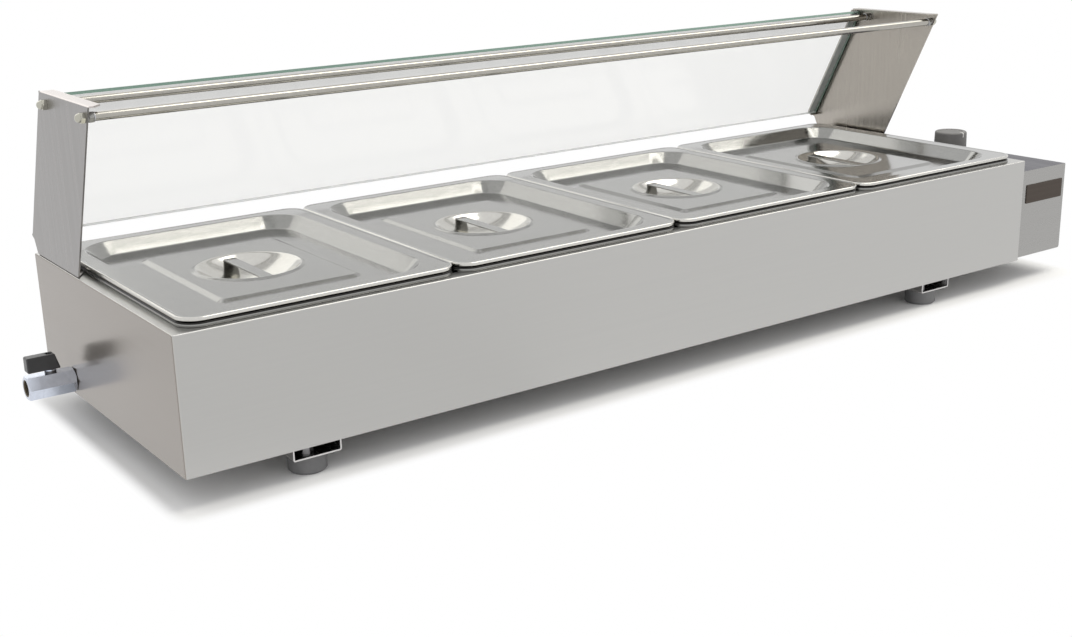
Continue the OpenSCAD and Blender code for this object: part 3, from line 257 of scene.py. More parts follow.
@dataclass(frozen=True)
class BrushedSteel(Finish):
    """Stainless sheet brushed in one direction. A pair of scales is along the grain and across it."""

    grain: Axis = Axis.X
    roughness: float = 0.3
    streaks: float = 0.06
    depth: float = 0.15
    metallic: float = 1.0
    streak_scale: Pair = (2.2, 260.0)
    scratch_scale: Pair = (26.0, 1800.0)
    cloud_scale: Point = (3.0, 5.0, 7.0)
    scratch_height: float = 0.00003

    def drawn_out(self, along: float, across: float) -> Point:
        """A scale that draws a noise out along the grain."""
        return tuple(along if axis is self.grain else across for axis in Axis)

    def shade(self, sheet: NodeSheet) -> None:
        """Long streaks in colour and roughness, and fine scratches in the bump."""
        long = sheet.noise(1.0, 3.0, 0.6, self.drawn_out(*self.streak_scale))
        fine = sheet.noise(1.0, 2.0, 0.6, self.drawn_out(*self.scratch_scale))
        cloud = sheet.noise(1.0, 2.0, 0.5, self.cloud_scale)
        tone = sheet.ramp(long * 0.6 + fine * 0.4, 0.32, 0.68)
        sheet.surface({
            "Base Color": sheet.shades(tone, self.colour, 1 - self.streaks, 1 + self.streaks),
            "Metallic": self.metallic,
            "Roughness": sheet.uneven(self.roughness, (tone, 0.08), (cloud, 0.05)),
            "Normal": sheet.bump(fine, self.depth, self.scratch_height),
        })


@dataclass(frozen=True)
class PressedSteel(Finish):
    """Thin pressed sheet with a satin or polished face, a little wavy, with fine wipe marks."""

    roughness: float
    waves: float = 0.25
    wave_scale: float = 22.0
    wave_height: float = 0.0012
    wipe_scale: Point = (900.0, 40.0, 300.0)
    cross_scale: Point = (45.0, 800.0, 300.0)

    def shade(self, sheet: NodeSheet) -> None:
        """Slow waves from pressing, and scratches that cross each other."""
        waves = sheet.noise(self.wave_scale, 1.0, 0.4)
        wipe, cross = (sheet.noise(1.0, 2.0, 0.55, scale) for scale in (self.wipe_scale, self.cross_scale))
        marks = sheet.ramp(wipe * cross, 0.12, 0.42)
        sheet.surface({
            "Base Color": sheet.shades(marks, self.colour, 0.97, 1.03),
            "Metallic": 1.0,
            "Roughness": sheet.uneven(self.roughness, (marks, 0.06), (waves, 0.05)),
            "Normal": sheet.bump(waves + marks * 0.01, self.waves, self.wave_height),
        })


@dataclass(frozen=True)
class Plated(Finish):
    """Plated or polished metal with faint handling marks."""

    roughness: float
    cloud_scale: float = 160.0
    speck_scale: float = 1500.0
    speck_height: float = 0.00005

    def shade(self, sheet: NodeSheet) -> None:
        """Cloudy roughness and a trace of unevenness."""
        cloud = sheet.noise(self.cloud_scale, 3.0, 0.6)
        speck = sheet.noise(self.speck_scale, 1.0, 0.5)
        sheet.surface({
            "Base Color": sheet.shades(sheet.ramp(cloud, 0.3, 0.7), self.colour, 0.95, 1.03),
            "Metallic": 1.0,
            "Roughness": sheet.uneven(self.roughness, (cloud, 0.1)),
            "Normal": sheet.bump(speck, 0.08, self.speck_height),
        })


@dataclass(frozen=True)
class Moulded(Finish):
    """Moulded plastic or rubber with a fine grain."""

    roughness: float
    grain: float = 2200.0
    depth: float = 0.2
    grain_height: float = 0.0001
    dust_scale: float = 90.0

    def shade(self, sheet: NodeSheet) -> None:
        """A fine grain in the bump, and dusty patches in colour and roughness."""
        grain = sheet.noise(self.grain, 2.0, 0.6)
        dust = sheet.ramp(sheet.noise(self.dust_scale, 4.0, 0.6), 0.35, 0.75)
        sheet.surface({
            "Base Color": sheet.shades(dust, self.colour, 1.0, 1.18),
            "Roughness": sheet.uneven(self.roughness, (dust, 0.1), (grain, 0.06)),
            "Normal": sheet.bump(grain, self.depth, self.grain_height),
        })


@dataclass(frozen=True)
class Wool(Finish):
    """Mineral wool: tangled fibres with a soft, open face."""

    fibre_scales: tuple[Point, Point] = ((60.0, 900.0, 900.0), (900.0, 60.0, 900.0))
    fibre_height: float = 0.0008

    def shade(self, sheet: NodeSheet) -> None:
        """Fibres as crossing stretched noises."""
        first, second = (sheet.noise(1.0, 4.0, 0.7, scale) for scale in self.fibre_scales)
        fibre = sheet.ramp(first * second, 0.15, 0.4)
        sheet.surface({
            "Base Color": sheet.shades(fibre, self.colour, 0.7, 1.0),
            "Roughness": 0.95,
            "Normal": sheet.bump(fibre, 0.6, self.fibre_height),
        })


@dataclass(frozen=True)
class Glass(Finish):
    """Float glass, clear through its faces.

    Its colour turns greyer along its top, between two heights that are given in metres: a band of painted
    shade.
    """

    greyer: Pair = (0.282, 0.298)
    grey: float = 0.72
    smear_scale: Point = (6.0, 14.0, 9.0)
    clear: float = 0.95
    refraction: float = 1.2

    def shade(self, sheet: NodeSheet) -> None:
        """Clear glass with faint smears in its roughness, and painted shade greying its colour along the top.
        """
        smear = sheet.ramp(sheet.noise(1.0, 4.0, 0.6, self.smear_scale), 0.55, 0.85)
        height = sheet.link("ShaderNodeSeparateXYZ", {}, {"Vector": sheet.place()}, "Z")
        sheet.surface({
            # The colour greys between the two heights: painted shade along the pane's top.
            "Base Color": sheet.shades(sheet.ramp(height, *self.greyer), self.colour, 1.0, self.grey),
            "Roughness": smear * 0.03,
            "Transmission Weight": self.clear,
            "IOR": self.refraction,
        })


@dataclass(frozen=True)
class GlassEdge(Finish):
    """A ground edge of a glass pane."""

    roughness: float = 0.17
    mark_scale: Point = (40.0, 1400.0, 1400.0)
    clear: float = 0.35
    refraction: float = 1.46

    def shade(self, sheet: NodeSheet) -> None:
        """A half clear colour with grinding marks."""
        marks = sheet.noise(1.0, 2.0, 0.5, self.mark_scale)
        sheet.surface({
            "Base Color": sheet.shades(marks, self.colour, 0.8, 1.2),
            "Roughness": sheet.uneven(self.roughness, (marks, 0.1)),
            "Transmission Weight": self.clear,
            "IOR": self.refraction,
        })


class Finishes:
    """Every finish on the object."""

    CASING = BrushedSteel("casing_brushed", "casing_steel", (0.51, 0.505, 0.49), Axis.X, 0.34, 0.015, 0.08)
    # CASING_END_SHADE is a darker, less metallic copy of the casing steel, brushed along Y, for the end
    # walls: painted shade.
    CASING_END_SHADE = BrushedSteel("casing_end_painted_shade", "casing_steel", (0.305, 0.277, 0.250), Axis.Y, 0.20,
                              0.015, 0.05, 0.64)
    CHANNEL = BrushedSteel("channel_brushed", "casing_steel", (0.60, 0.59, 0.58), Axis.Y, 0.25)
    BOX = BrushedSteel("box_brushed", "box_steel", (0.375, 0.37, 0.36), Axis.X, 0.28, 0.02, 0.08)
    # BOX_TOP_SHADE is a near-black copy of the box steel for the box's top: painted shade.
    BOX_TOP_SHADE = BrushedSteel("box_top_painted_shade", "box_steel", (0.04, 0.036, 0.055), Axis.Y, 0.32, 0.03, 0.08)
    # GUARD_LEFT_SHADE is a darker copy of the guard steel for the left plate, whose outer face is seen:
    # painted shade. GUARD_RIGHT is the same steel for the right plate.
    GUARD_LEFT_SHADE = BrushedSteel("guard_left_painted_shade", "guard_steel", (0.30, 0.29, 0.285), Axis.Z, 0.30, 0.015, 0.06)
    # GUARD_TOP_LIT is a lighter copy of the guard steel for the left plate's top flange: painted light.
    GUARD_TOP_LIT = BrushedSteel("guard_top_painted_light", "guard_steel", (0.56, 0.52, 0.50), Axis.Y, 0.30,
                             0.015, 0.06)
    GUARD_RIGHT = BrushedSteel("guard_inner_brushed", "guard_steel", (0.44, 0.41, 0.37), Axis.Z, 0.24,
                               0.02, 0.06)
    PLAIN = BrushedSteel("plain_mill", "plain_steel", (0.50, 0.49, 0.48), Axis.Y, 0.35)
    TANK = BrushedSteel("tank_mill", "tank_steel", (0.52, 0.52, 0.51), Axis.X, 0.28)
    ELEMENT = BrushedSteel("element_darkened", "element_steel", (0.20, 0.18, 0.17), Axis.X, 0.4)
    PLATE = BrushedSteel("plate_darkened", "dark_plate", (0.08, 0.065, 0.055), Axis.X, 0.35, 0.08)
    PAN = PressedSteel("pan_pressed", "pan_steel", (0.30, 0.30, 0.29), 0.245)
    # PAN_EDGE_SHADE is a near-black copy of the pan steel for the top of the rim's turned-down edge: painted
    # shade under the lid's edge.
    PAN_EDGE_SHADE = PressedSteel("pan_edge_painted_shade", "pan_steel", (0.03, 0.029, 0.028), 0.305)
    LID = PressedSteel("lid_pressed", "lid_steel", (0.34, 0.34, 0.33), 0.135, 0.15)
    # LID_HIGHLIGHT is a lighter copy of the lid steel for the lid's edge bead and its bowl: painted
    # highlight.
    LID_HIGHLIGHT = PressedSteel("lid_painted_highlight", "lid_steel", (0.60, 0.59, 0.56), 0.145, 0.15)
    POLISHED = Plated("steel_polished", "polished_steel", (0.62, 0.60, 0.57), 0.14)
    ROD = Plated("rod_ground", "polished_steel", (0.42, 0.405, 0.37), 0.18)
    DOME = Plated("dome_nut_plated", "polished_steel", (0.48, 0.47, 0.41), 0.16)
    NUT = Plated("nut_plated", "polished_steel", (0.30, 0.30, 0.29), 0.22)
    CHROME = Plated("valve_plated", "valve_chrome", (0.63, 0.67, 0.76), 0.20)
    # VALVE_COLLAR_SHADE is a near-black copy of the valve's plating for the collar under the lever: painted
    # shade.
    VALVE_COLLAR_SHADE = Plated("valve_collar_painted_shade", "valve_chrome", (0.12, 0.12, 0.125), 0.32)
    # VALVE_BORE_SHADE is a dark copy of the valve's plating for the threaded bore: painted shade in the
    # recess.
    VALVE_BORE_SHADE = Plated("valve_bore_painted_shade", "valve_chrome", (0.14, 0.12, 0.09), 0.42)
    ZINC = Plated("zinc_plated", "zinc", (0.55, 0.55, 0.57), 0.30)
    BRASS = Plated("brass_turned", "brass", (0.70, 0.52, 0.22), 0.26)
    COPPER = Plated("copper_drawn", "copper", (0.66, 0.36, 0.24), 0.30)
    RUBBER = Moulded("rubber_moulded", "rubber", (0.155, 0.155, 0.158), 0.63, 1500.0)
    KNOB = Moulded("knob_moulded", "knob_plastic", (0.165, 0.162, 0.157), 0.63)
    POINTER = Moulded("pointer_paint", "knob_plastic", (0.70, 0.70, 0.68), 0.51)
    BLACK = Moulded("black_moulded", "black_plastic", (0.045, 0.045, 0.047), 0.36)
    IVORY = Moulded("ivory_moulded", "ivory_plastic", (0.72, 0.68, 0.58), 0.46)
    WHITE = Moulded("white_turned", "white_plastic", (0.82, 0.82, 0.80), 0.36)
    STRIP = Moulded("seal_strip_soft", "seal_strip", (0.52, 0.54, 0.53), 0.61)
    WIRE = Moulded("wire_extruded", "wire_cover", (0.40, 0.05, 0.04), 0.41)
    WOOL = Wool("mineral_wool_fibre", "mineral_wool", (0.66, 0.56, 0.30))
    GLASS = Glass("glass_clear", "clear_glass", (0.95, 0.95, 0.94))
    GLASS_EDGE = GlassEdge("glass_ground_edge", "clear_glass", (0.19, 0.33, 0.26))
    # GLASS_FOOT_LIT is a pale copy of the green edge finish for the pane's foot: painted light.
    GLASS_FOOT_LIT = GlassEdge("glass_foot_painted_light", "clear_glass", (0.88, 0.92, 0.90))


@dataclass(frozen=True)
class Ring:
    """One round of a pressed sheet: a rectangle with round corners, or a circle where it has no length."""

    width: float
    length: float
    radius: float
    height: float
    shift: float = 0.0


@dataclass(frozen=True)
class Bend:
    """A corner of a section: its distance in from the outline, its height and its rounding."""

    inset: float
    height: float
    radius: float = 0.0


def rounded_section(bends: Sequence[Bend], steps: int = 5) -> list[Pair]:
    """Rounds the corners of a sheet's section.

    Args:
        bends: The section's corners.
        steps: How many stretches each rounding has.

    Returns:
        Pairs of inset and height.
    """
    points: list[Pair] = []
    for k, bend in enumerate(bends):
        here = Vector((bend.inset, bend.height))
        if bend.radius == 0 or k in (0, len(bends) - 1):
            points.append((here.x, here.y))
            continue
        before = Vector((bends[k - 1].inset, bends[k - 1].height)) - here
        after = Vector((bends[k + 1].inset, bends[k + 1].height)) - here
        half = before.angle(after) / 2
        reach = bend.radius / math.tan(half)
        start, end = here + before.normalized() * reach, here + after.normalized() * reach
        inwards = (before.normalized() + after.normalized()).normalized()
        middle = here + inwards * (bend.radius / math.sin(half))
        first, last = start - middle, end - middle
        sweep = first.angle_signed(last)
        for step in range(steps + 1):
            turned = first.copy()
            turned.rotate(Matrix.Rotation(-sweep * step / steps, 2))
            points.append(((middle + turned).x, (middle + turned).y))
    return points


def rings_of(width: float, length: float, radius: float, bends: Sequence[Bend], steps: int = 5) -> list[Ring]:
    """The rounds of a sheet whose section follows a rectangle with round corners.

    Args:
        width: The rectangle's width at an inset of zero.
        length: Its length there.
        radius: Its corner radius there.
        bends: The section.
        steps: How many stretches each rounding has.

    Returns:
        The rounds, outermost first.
    """
    return [Ring(width - 2 * inset, length - 2 * inset, max(radius - inset, LEAST_RADIUS), height)
            for inset, height in rounded_section(bends, steps)]


def grown_verts(grown: dict[str, list[object]]) -> list[bmesh.types.BMVert]:
    """The vertices that an extrusion has made."""
    return [item for item in grown["geom"] if isinstance(item, bmesh.types.BMVert)]


class Shape:
    """A mesh in the making, built with bmesh operators in casing millimetres."""

    corner_steps = 14
    hexagon_flat = 0.96
    hexagon_slope = 0.6

    def __init__(self) -> None:
        """Starts with an empty mesh."""
        self.bm = bmesh.new()

    def outward(self) -> "Shape":
        """Turns every face outwards."""
        bmesh.ops.recalc_face_normals(self.bm, faces=self.bm.faces)
        return self

    def flip(self) -> "Shape":
        """Turns every face round."""
        bmesh.ops.reverse_faces(self.bm, faces=self.bm.faces)
        return self

    def folds(self) -> list[bmesh.types.BMEdge]:
        """The edges where two faces meet."""
        return [edge for edge in self.bm.edges if len(edge.link_faces) == 2]

    def bevel(self, items: Iterable[bmesh.types.BMEdge | bmesh.types.BMVert], width: float, steps: int = 3,
              affect: str = "EDGES") -> "Shape":
        """Rounds edges or corners to a radius."""
        bmesh.ops.bevel(self.bm, geom=list(items), offset=width, offset_type="OFFSET", affect=affect,
                        segments=steps, profile=0.5, material=-1)
        return self

    def round(self, ring: Ring, centre: Pair, level: float) -> list[bmesh.types.BMEdge]:
        """Lays one closed round of edges.

        Args:
            ring: The round's size.
            centre: Its middle.
            level: The height that it is laid at.

        Returns:
            The round's edges.
        """
        known_edges, known_faces = set(self.bm.edges), set(self.bm.faces)
        place = Matrix.Translation((*centre, level))
        if ring.length == 0:
            count = 4 * (self.corner_steps + 1)
            turn = Matrix.Rotation(math.pi / count, 4, "Z")
            bmesh.ops.create_circle(self.bm, segments=count, radius=ring.width / 2, matrix=place @ turn)
        else:
            size = Matrix.Diagonal((ring.width, ring.length, 1.0, 1.0))
            made = bmesh.ops.create_grid(self.bm, x_segments=1, y_segments=1, size=0.5, matrix=place @ size)
            self.bevel(made["verts"], ring.radius, self.corner_steps, "VERTICES")
            fresh = [face for face in self.bm.faces if face not in known_faces]
            bmesh.ops.delete(self.bm, geom=fresh, context="FACES_ONLY")
        return [edge for edge in self.bm.edges if edge not in known_edges]

    def loft(self, rings: Sequence[Ring], centre: Pair, close: bool = False) -> "Shape":
        """Joins rounds one after another into a sheet whose face looks up.

        The rounds are joined one over another, and then brought to their own heights, because rounds that
        lie in one plane give the bridging operator no direction.

        Args:
            rings: The rounds in order.
            centre: The middle that they share.
            close: Whether the last round is filled.

        Returns:
            The shape.
        """
        rounds = [self.round(ring, centre, level) for level, ring in enumerate(rings)]
        for first, second in zip(rounds, rounds[1:]):
            bmesh.ops.bridge_loops(self.bm, edges=first + second)
        for level, (ring, edges) in enumerate(zip(rings, rounds)):
            verts = list({vert for edge in edges for vert in edge.verts})
            bmesh.ops.translate(self.bm, vec=(0.0, ring.shift, ring.height - level), verts=verts)
        if close:
            bmesh.ops.edgeloop_fill(self.bm, edges=rounds[-1])
        self.outward()
        looks_up = sum(face.normal.z * face.calc_area() for face in self.bm.faces) >= 0
        return self if looks_up else self.flip()

    def block(self, low: Point, high: Point, bevel: float = 0.0, steps: int = 3) -> "Shape":
        """Adds a block with rounded edges.

        Args:
            low: Its lowest corner.
            high: Its highest corner.
            bevel: The rounding of its edges.
            steps: How many stretches the rounding has.

        Returns:
            The shape.
        """
        size = Vector(high) - Vector(low)
        place = Matrix.Translation((Vector(low) + Vector(high)) / 2) @ Matrix.Diagonal((*size, 1.0))
        made = bmesh.ops.create_cube(self.bm, size=1.0, matrix=place)
        if bevel > 0:
            self.bevel({edge for vert in made["verts"] for edge in vert.link_edges}, bevel, steps)
        return self

    def turned(self, section: Sequence[Pair], place: Point, axis: Axis = Axis.Z, steps: int = 64) -> "Shape":
        """Adds a shape turned round an axis.

        Args:
            section: Pairs of radius and height along the axis.
            place: The point on the axis at height zero.
            axis: The axis.
            steps: How many stretches the round has.

        Returns:
            The shape.
        """
        verts = [self.bm.verts.new((radius, 0.0, height)) for radius, height in section]
        edges = [self.bm.edges.new(pair) for pair in zip(verts, verts[1:])]
        known = set(self.bm.verts) - set(verts)
        bmesh.ops.spin(self.bm, geom=verts + edges, cent=(0, 0, 0), axis=(0, 0, 1), angle=2 * math.pi,
                       steps=steps, use_merge=True)
        fresh = [vert for vert in self.bm.verts if vert not in known]
        bmesh.ops.remove_doubles(self.bm, verts=fresh, dist=MERGE)
        fresh = [vert for vert in self.bm.verts if vert not in known]
        bmesh.ops.transform(self.bm, matrix=Matrix.Translation(place) @ axis.turn(), verts=fresh)
        return self

    def bar(self, radius: float, start: float, end: float, place: Point, axis: Axis = Axis.Z) -> "Shape":
        """Adds a plain round bar from a start to an end along an axis through a place."""
        return self.turned([(0, start), (radius, start), (radius, end), (0, end)], place, axis)

    def faces(self, outlines: Sequence[Sequence[Point]]) -> "Shape":
        """Adds flat faces that share the edges where they meet.

        Args:
            outlines: The corners of each face.

        Returns:
            The shape.
        """
        for outline in outlines:
            self.bm.faces.new([self.bm.verts.new(point) for point in outline])
        bmesh.ops.remove_doubles(self.bm, verts=self.bm.verts, dist=MERGE)
        return self.outward()

    def prism(self, outline: Sequence[Point], along: Point) -> "Shape":
        """Adds a solid made by pushing a flat outline along a vector.

        Args:
            outline: The outline's corners.
            along: The vector.

        Returns:
            The shape.
        """
        face = self.bm.faces.new([self.bm.verts.new(point) for point in outline])
        grown = bmesh.ops.extrude_face_region(self.bm, geom=[face])
        bmesh.ops.translate(self.bm, vec=along, verts=grown_verts(grown))
        return self.outward()

    def hexagon(self, place: Point, axis: Axis, length: float, flats: float,
                chamfer: tuple[bool, bool]) -> "Shape":
        """Adds a hexagonal nut or body with chamfered ends.

        Args:
            place: The middle of its first face.
            axis: The axis that it lies along.
            length: Its length.
            flats: Its size across its flats.
            chamfer: Whether its first and its last end are chamfered.

        Returns:
            The shape.
        """
        body = Shape()
        corner = flats / math.sqrt(3)
        bmesh.ops.create_cone(body.bm, cap_ends=True, segments=6, radius1=corner, radius2=corner,
                              depth=length, matrix=Matrix.Translation((0, 0, length / 2)))
        narrow, wide = flats / 2 * self.hexagon_flat, corner * 1.2
        slope = self.hexagon_slope * (wide - narrow)
        section = [(0.0, 0.0), (narrow, 0.0), (wide, slope)] if chamfer[0] else [(0.0, -1.0), (wide, -1.0)]
        section += [(wide, length - slope), (narrow, length), (0.0, length)] if chamfer[1] else \
            [(wide, length + 1.0), (0.0, length + 1.0)]
        body.combine(Shape().turned(section, (0, 0, 0)), "INTERSECT")
        return self.join(body.move(Matrix.Translation(place) @ axis.turn()))

    def join(self, other: "Shape") -> "Shape":
        """Adds another shape's mesh beside this one's, without joining their solids.

        Args:
            other: The other shape.

        Returns:
            The shape.
        """
        mesh = bpy.data.meshes.new("joining")
        other.bm.to_mesh(mesh)
        self.bm.from_mesh(mesh)
        bpy.data.meshes.remove(mesh)
        return self

    def combine(self, other: "Shape", operation: str) -> "Shape":
        """Cuts another shape out of this one, joins them or keeps what they share.

        Args:
            other: The other solid.
            operation: DIFFERENCE, UNION or INTERSECT.

        Returns:
            The shape.
        """
        made = [placed(name, bpy.data.meshes.new(name)) for name in ("first", "second")]
        for item, shape in zip(made, (self, other)):
            shape.outward().bm.to_mesh(item.data)
        boolean = made[0].modifiers.new("combine", "BOOLEAN")
        boolean.object, boolean.operation, boolean.solver = made[1], operation, "MANIFOLD"
        bpy.context.view_layer.update()
        solid = made[0].evaluated_get(bpy.context.evaluated_depsgraph_get())
        self.bm.clear()
        self.bm.from_mesh(solid.to_mesh())
        solid.to_mesh_clear()
        for item in made:
            mesh = item.data
            bpy.data.objects.remove(item)
            bpy.data.meshes.remove(mesh)
        return self

    def cut(self, other: "Shape") -> "Shape":
        """Cuts another shape out of this one."""
        return self.combine(other, "DIFFERENCE")

    def move(self, matrix: Matrix) -> "Shape":
        """Moves, turns or mirrors the whole shape.

        Args:
            matrix: The movement.

        Returns:
            The shape, with its faces still outwards.
        """
        bmesh.ops.transform(self.bm, matrix=matrix, verts=self.bm.verts)
        return self.flip() if matrix.determinant() < 0 else self

    def paint(self, chosen: Callable[[bmesh.types.BMFace], bool], index: int) -> "Shape":
        """Gives the chosen faces another of the piece's finishes.

        Args:
            chosen: Says whether a face is chosen.
            index: The finish's number.

        Returns:
            The shape.
        """
        for face in self.bm.faces:
            if chosen(face):
                face.material_index = index
        return self


@dataclass
class Making:
    """How a shape becomes a finished piece."""

    name: str
    body: str
    finishes: Sequence[Finish]
    replaces: str = ""
    wall: float = 0.0
    soften: float = 0.0
    sharp_angle: float = 35.0

    def finish(self, shape: Shape) -> None:
        """Turns the shape into an object, in place, with its finish and its body.

        Args:
            shape: The shape, in casing millimetres.
        """
        mesh = bpy.data.meshes.new(self.name)
        bmesh.ops.remove_doubles(shape.bm, verts=shape.bm.verts, dist=MERGE)
        shape.bm.transform(Origin.matrix())
        shape.bm.to_mesh(mesh)
        shape.bm.free()
        mesh.polygons.foreach_set("use_smooth", [True] * len(mesh.polygons))
        mesh.set_sharp_from_angle(angle=math.radians(self.sharp_angle))
        piece = placed(self.name, mesh)
        for finish in self.finishes:
            mesh.materials.append(finish.material())
        if self.wall:
            solidify = piece.modifiers.new("wall", "SOLIDIFY")
            solidify.thickness, solidify.offset = self.wall * MM, -1.0
        if self.soften:
            bevel = piece.modifiers.new("soften", "BEVEL")
            bevel.width, bevel.segments, bevel.limit_method = self.soften * MM, 2, "ANGLE"
            bevel.angle_limit, bevel.harden_normals = math.radians(self.sharp_angle), False
        weighted = piece.modifiers.new("flats", "WEIGHTED_NORMAL")
        weighted.keep_sharp, weighted.mode = not self.soften, "FACE_AREA"
        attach(piece, self.body)
        if self.replaces:
            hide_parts(self.replaces)
        LOG.info("%s: %d faces, on %s", self.name, len(mesh.polygons), self.body)


@dataclass
class Casing:
    """The folded outer casing with the pans' opening in its deck.

    The opening is given by its width, its length and its corner radius.
    """

    sheet: float = 1.0
    corner: float = 2.0
    bend: float = 1.5
    rim: float = 5.0
    opening: Point = (1041.0, 306.4, 12.0)
    opening_middle: float = 169.5

    def build(self) -> None:
        """Makes the casing's skin from its lower edge, round the deck, to the opening."""
        size = Origin.casing()
        middle = (size.x / 2, size.y / 2)
        skin = rings_of(size.x, size.y, self.corner, [
            Bend(0, 0), Bend(0, size.z, self.bend), Bend(self.rim, size.z)])
        skin.append(Ring(*self.opening, size.z, self.opening_middle - middle[1]))
        shape = Shape().loft(skin, middle)
        # The end walls get the darker copy of the casing steel: painted shade on the ends.
        shape.paint(lambda face: abs(face.normal.x) > FACING, 1)
        Making("casing_shell", "casing", [Finishes.CASING, Finishes.CASING_END_SHADE], "outer_casing",
               wall=self.sheet).finish(shape)


@dataclass
class Underframe:
    """The two channels under the casing and the rubber feet bolted to them."""

    sheet: float = 1.5
    bend: float = 2.0
    foot_radius: float = 17.5
    chamfer: float = 1.5
    rounding: float = 0.8
    soft_edge: float = 0.5
    screw_hole: float = 3.3
    screw_pocket: float = 7.0
    pocket_depth: float = 10.0

    def channel(self, side: str) -> None:
        """Makes one channel: a folded strip, open at both ends.

        Args:
            side: Left or right.
        """
        low, high = Origin.box(f"channel_{side}")
        section = [(low.x, high.z), (low.x, low.z), (high.x, low.z), (high.x, high.z)]
        shape = Shape().faces([
            [(x1, low.y, z1), (x2, low.y, z2), (x2, high.y, z2), (x1, high.y, z1)]
            for (x1, z1), (x2, z2) in zip(section, section[1:])])
        shape.bevel(shape.folds(), self.bend, 5)
        if next(face for face in shape.bm.faces if abs(face.normal.z) > SQUARE).normal.z > 0:
            shape.flip()
        Making(f"foot_channel_{side}", "casing", [Finishes.CHANNEL], f"channel_{side}",
               wall=self.sheet, soften=0.15).finish(shape)

    def feet(self) -> None:
        """Makes the four turned rubber feet, each with a pocket for its screw."""
        low, high = Origin.box("feet")
        radius, height = self.foot_radius, high.z - low.z
        section = rounded_section([
            Bend(self.screw_hole, height), Bend(radius, height, self.rounding),
            Bend(radius, self.chamfer, self.rounding), Bend(radius - self.chamfer, 0, self.soft_edge),
            Bend(self.screw_pocket, 0, self.soft_edge), Bend(self.screw_pocket, self.pocket_depth),
            Bend(self.screw_hole, self.pocket_depth), Bend(self.screw_hole, height)], 4)
        shape = Shape()
        for side in ("left", "right"):
            start, end = Origin.box(f"channel_{side}")
            for y in (low.y + radius, high.y - radius):
                shape.turned(section, ((start.x + end.x) / 2, y, low.z), steps=72)
        Making("rubber_feet", "casing", [Finishes.RUBBER], "feet").finish(shape.outward())

    def build(self) -> None:
        """Makes both channels and the feet."""
        for side in ("left", "right"):
            self.channel(side)
        self.feet()


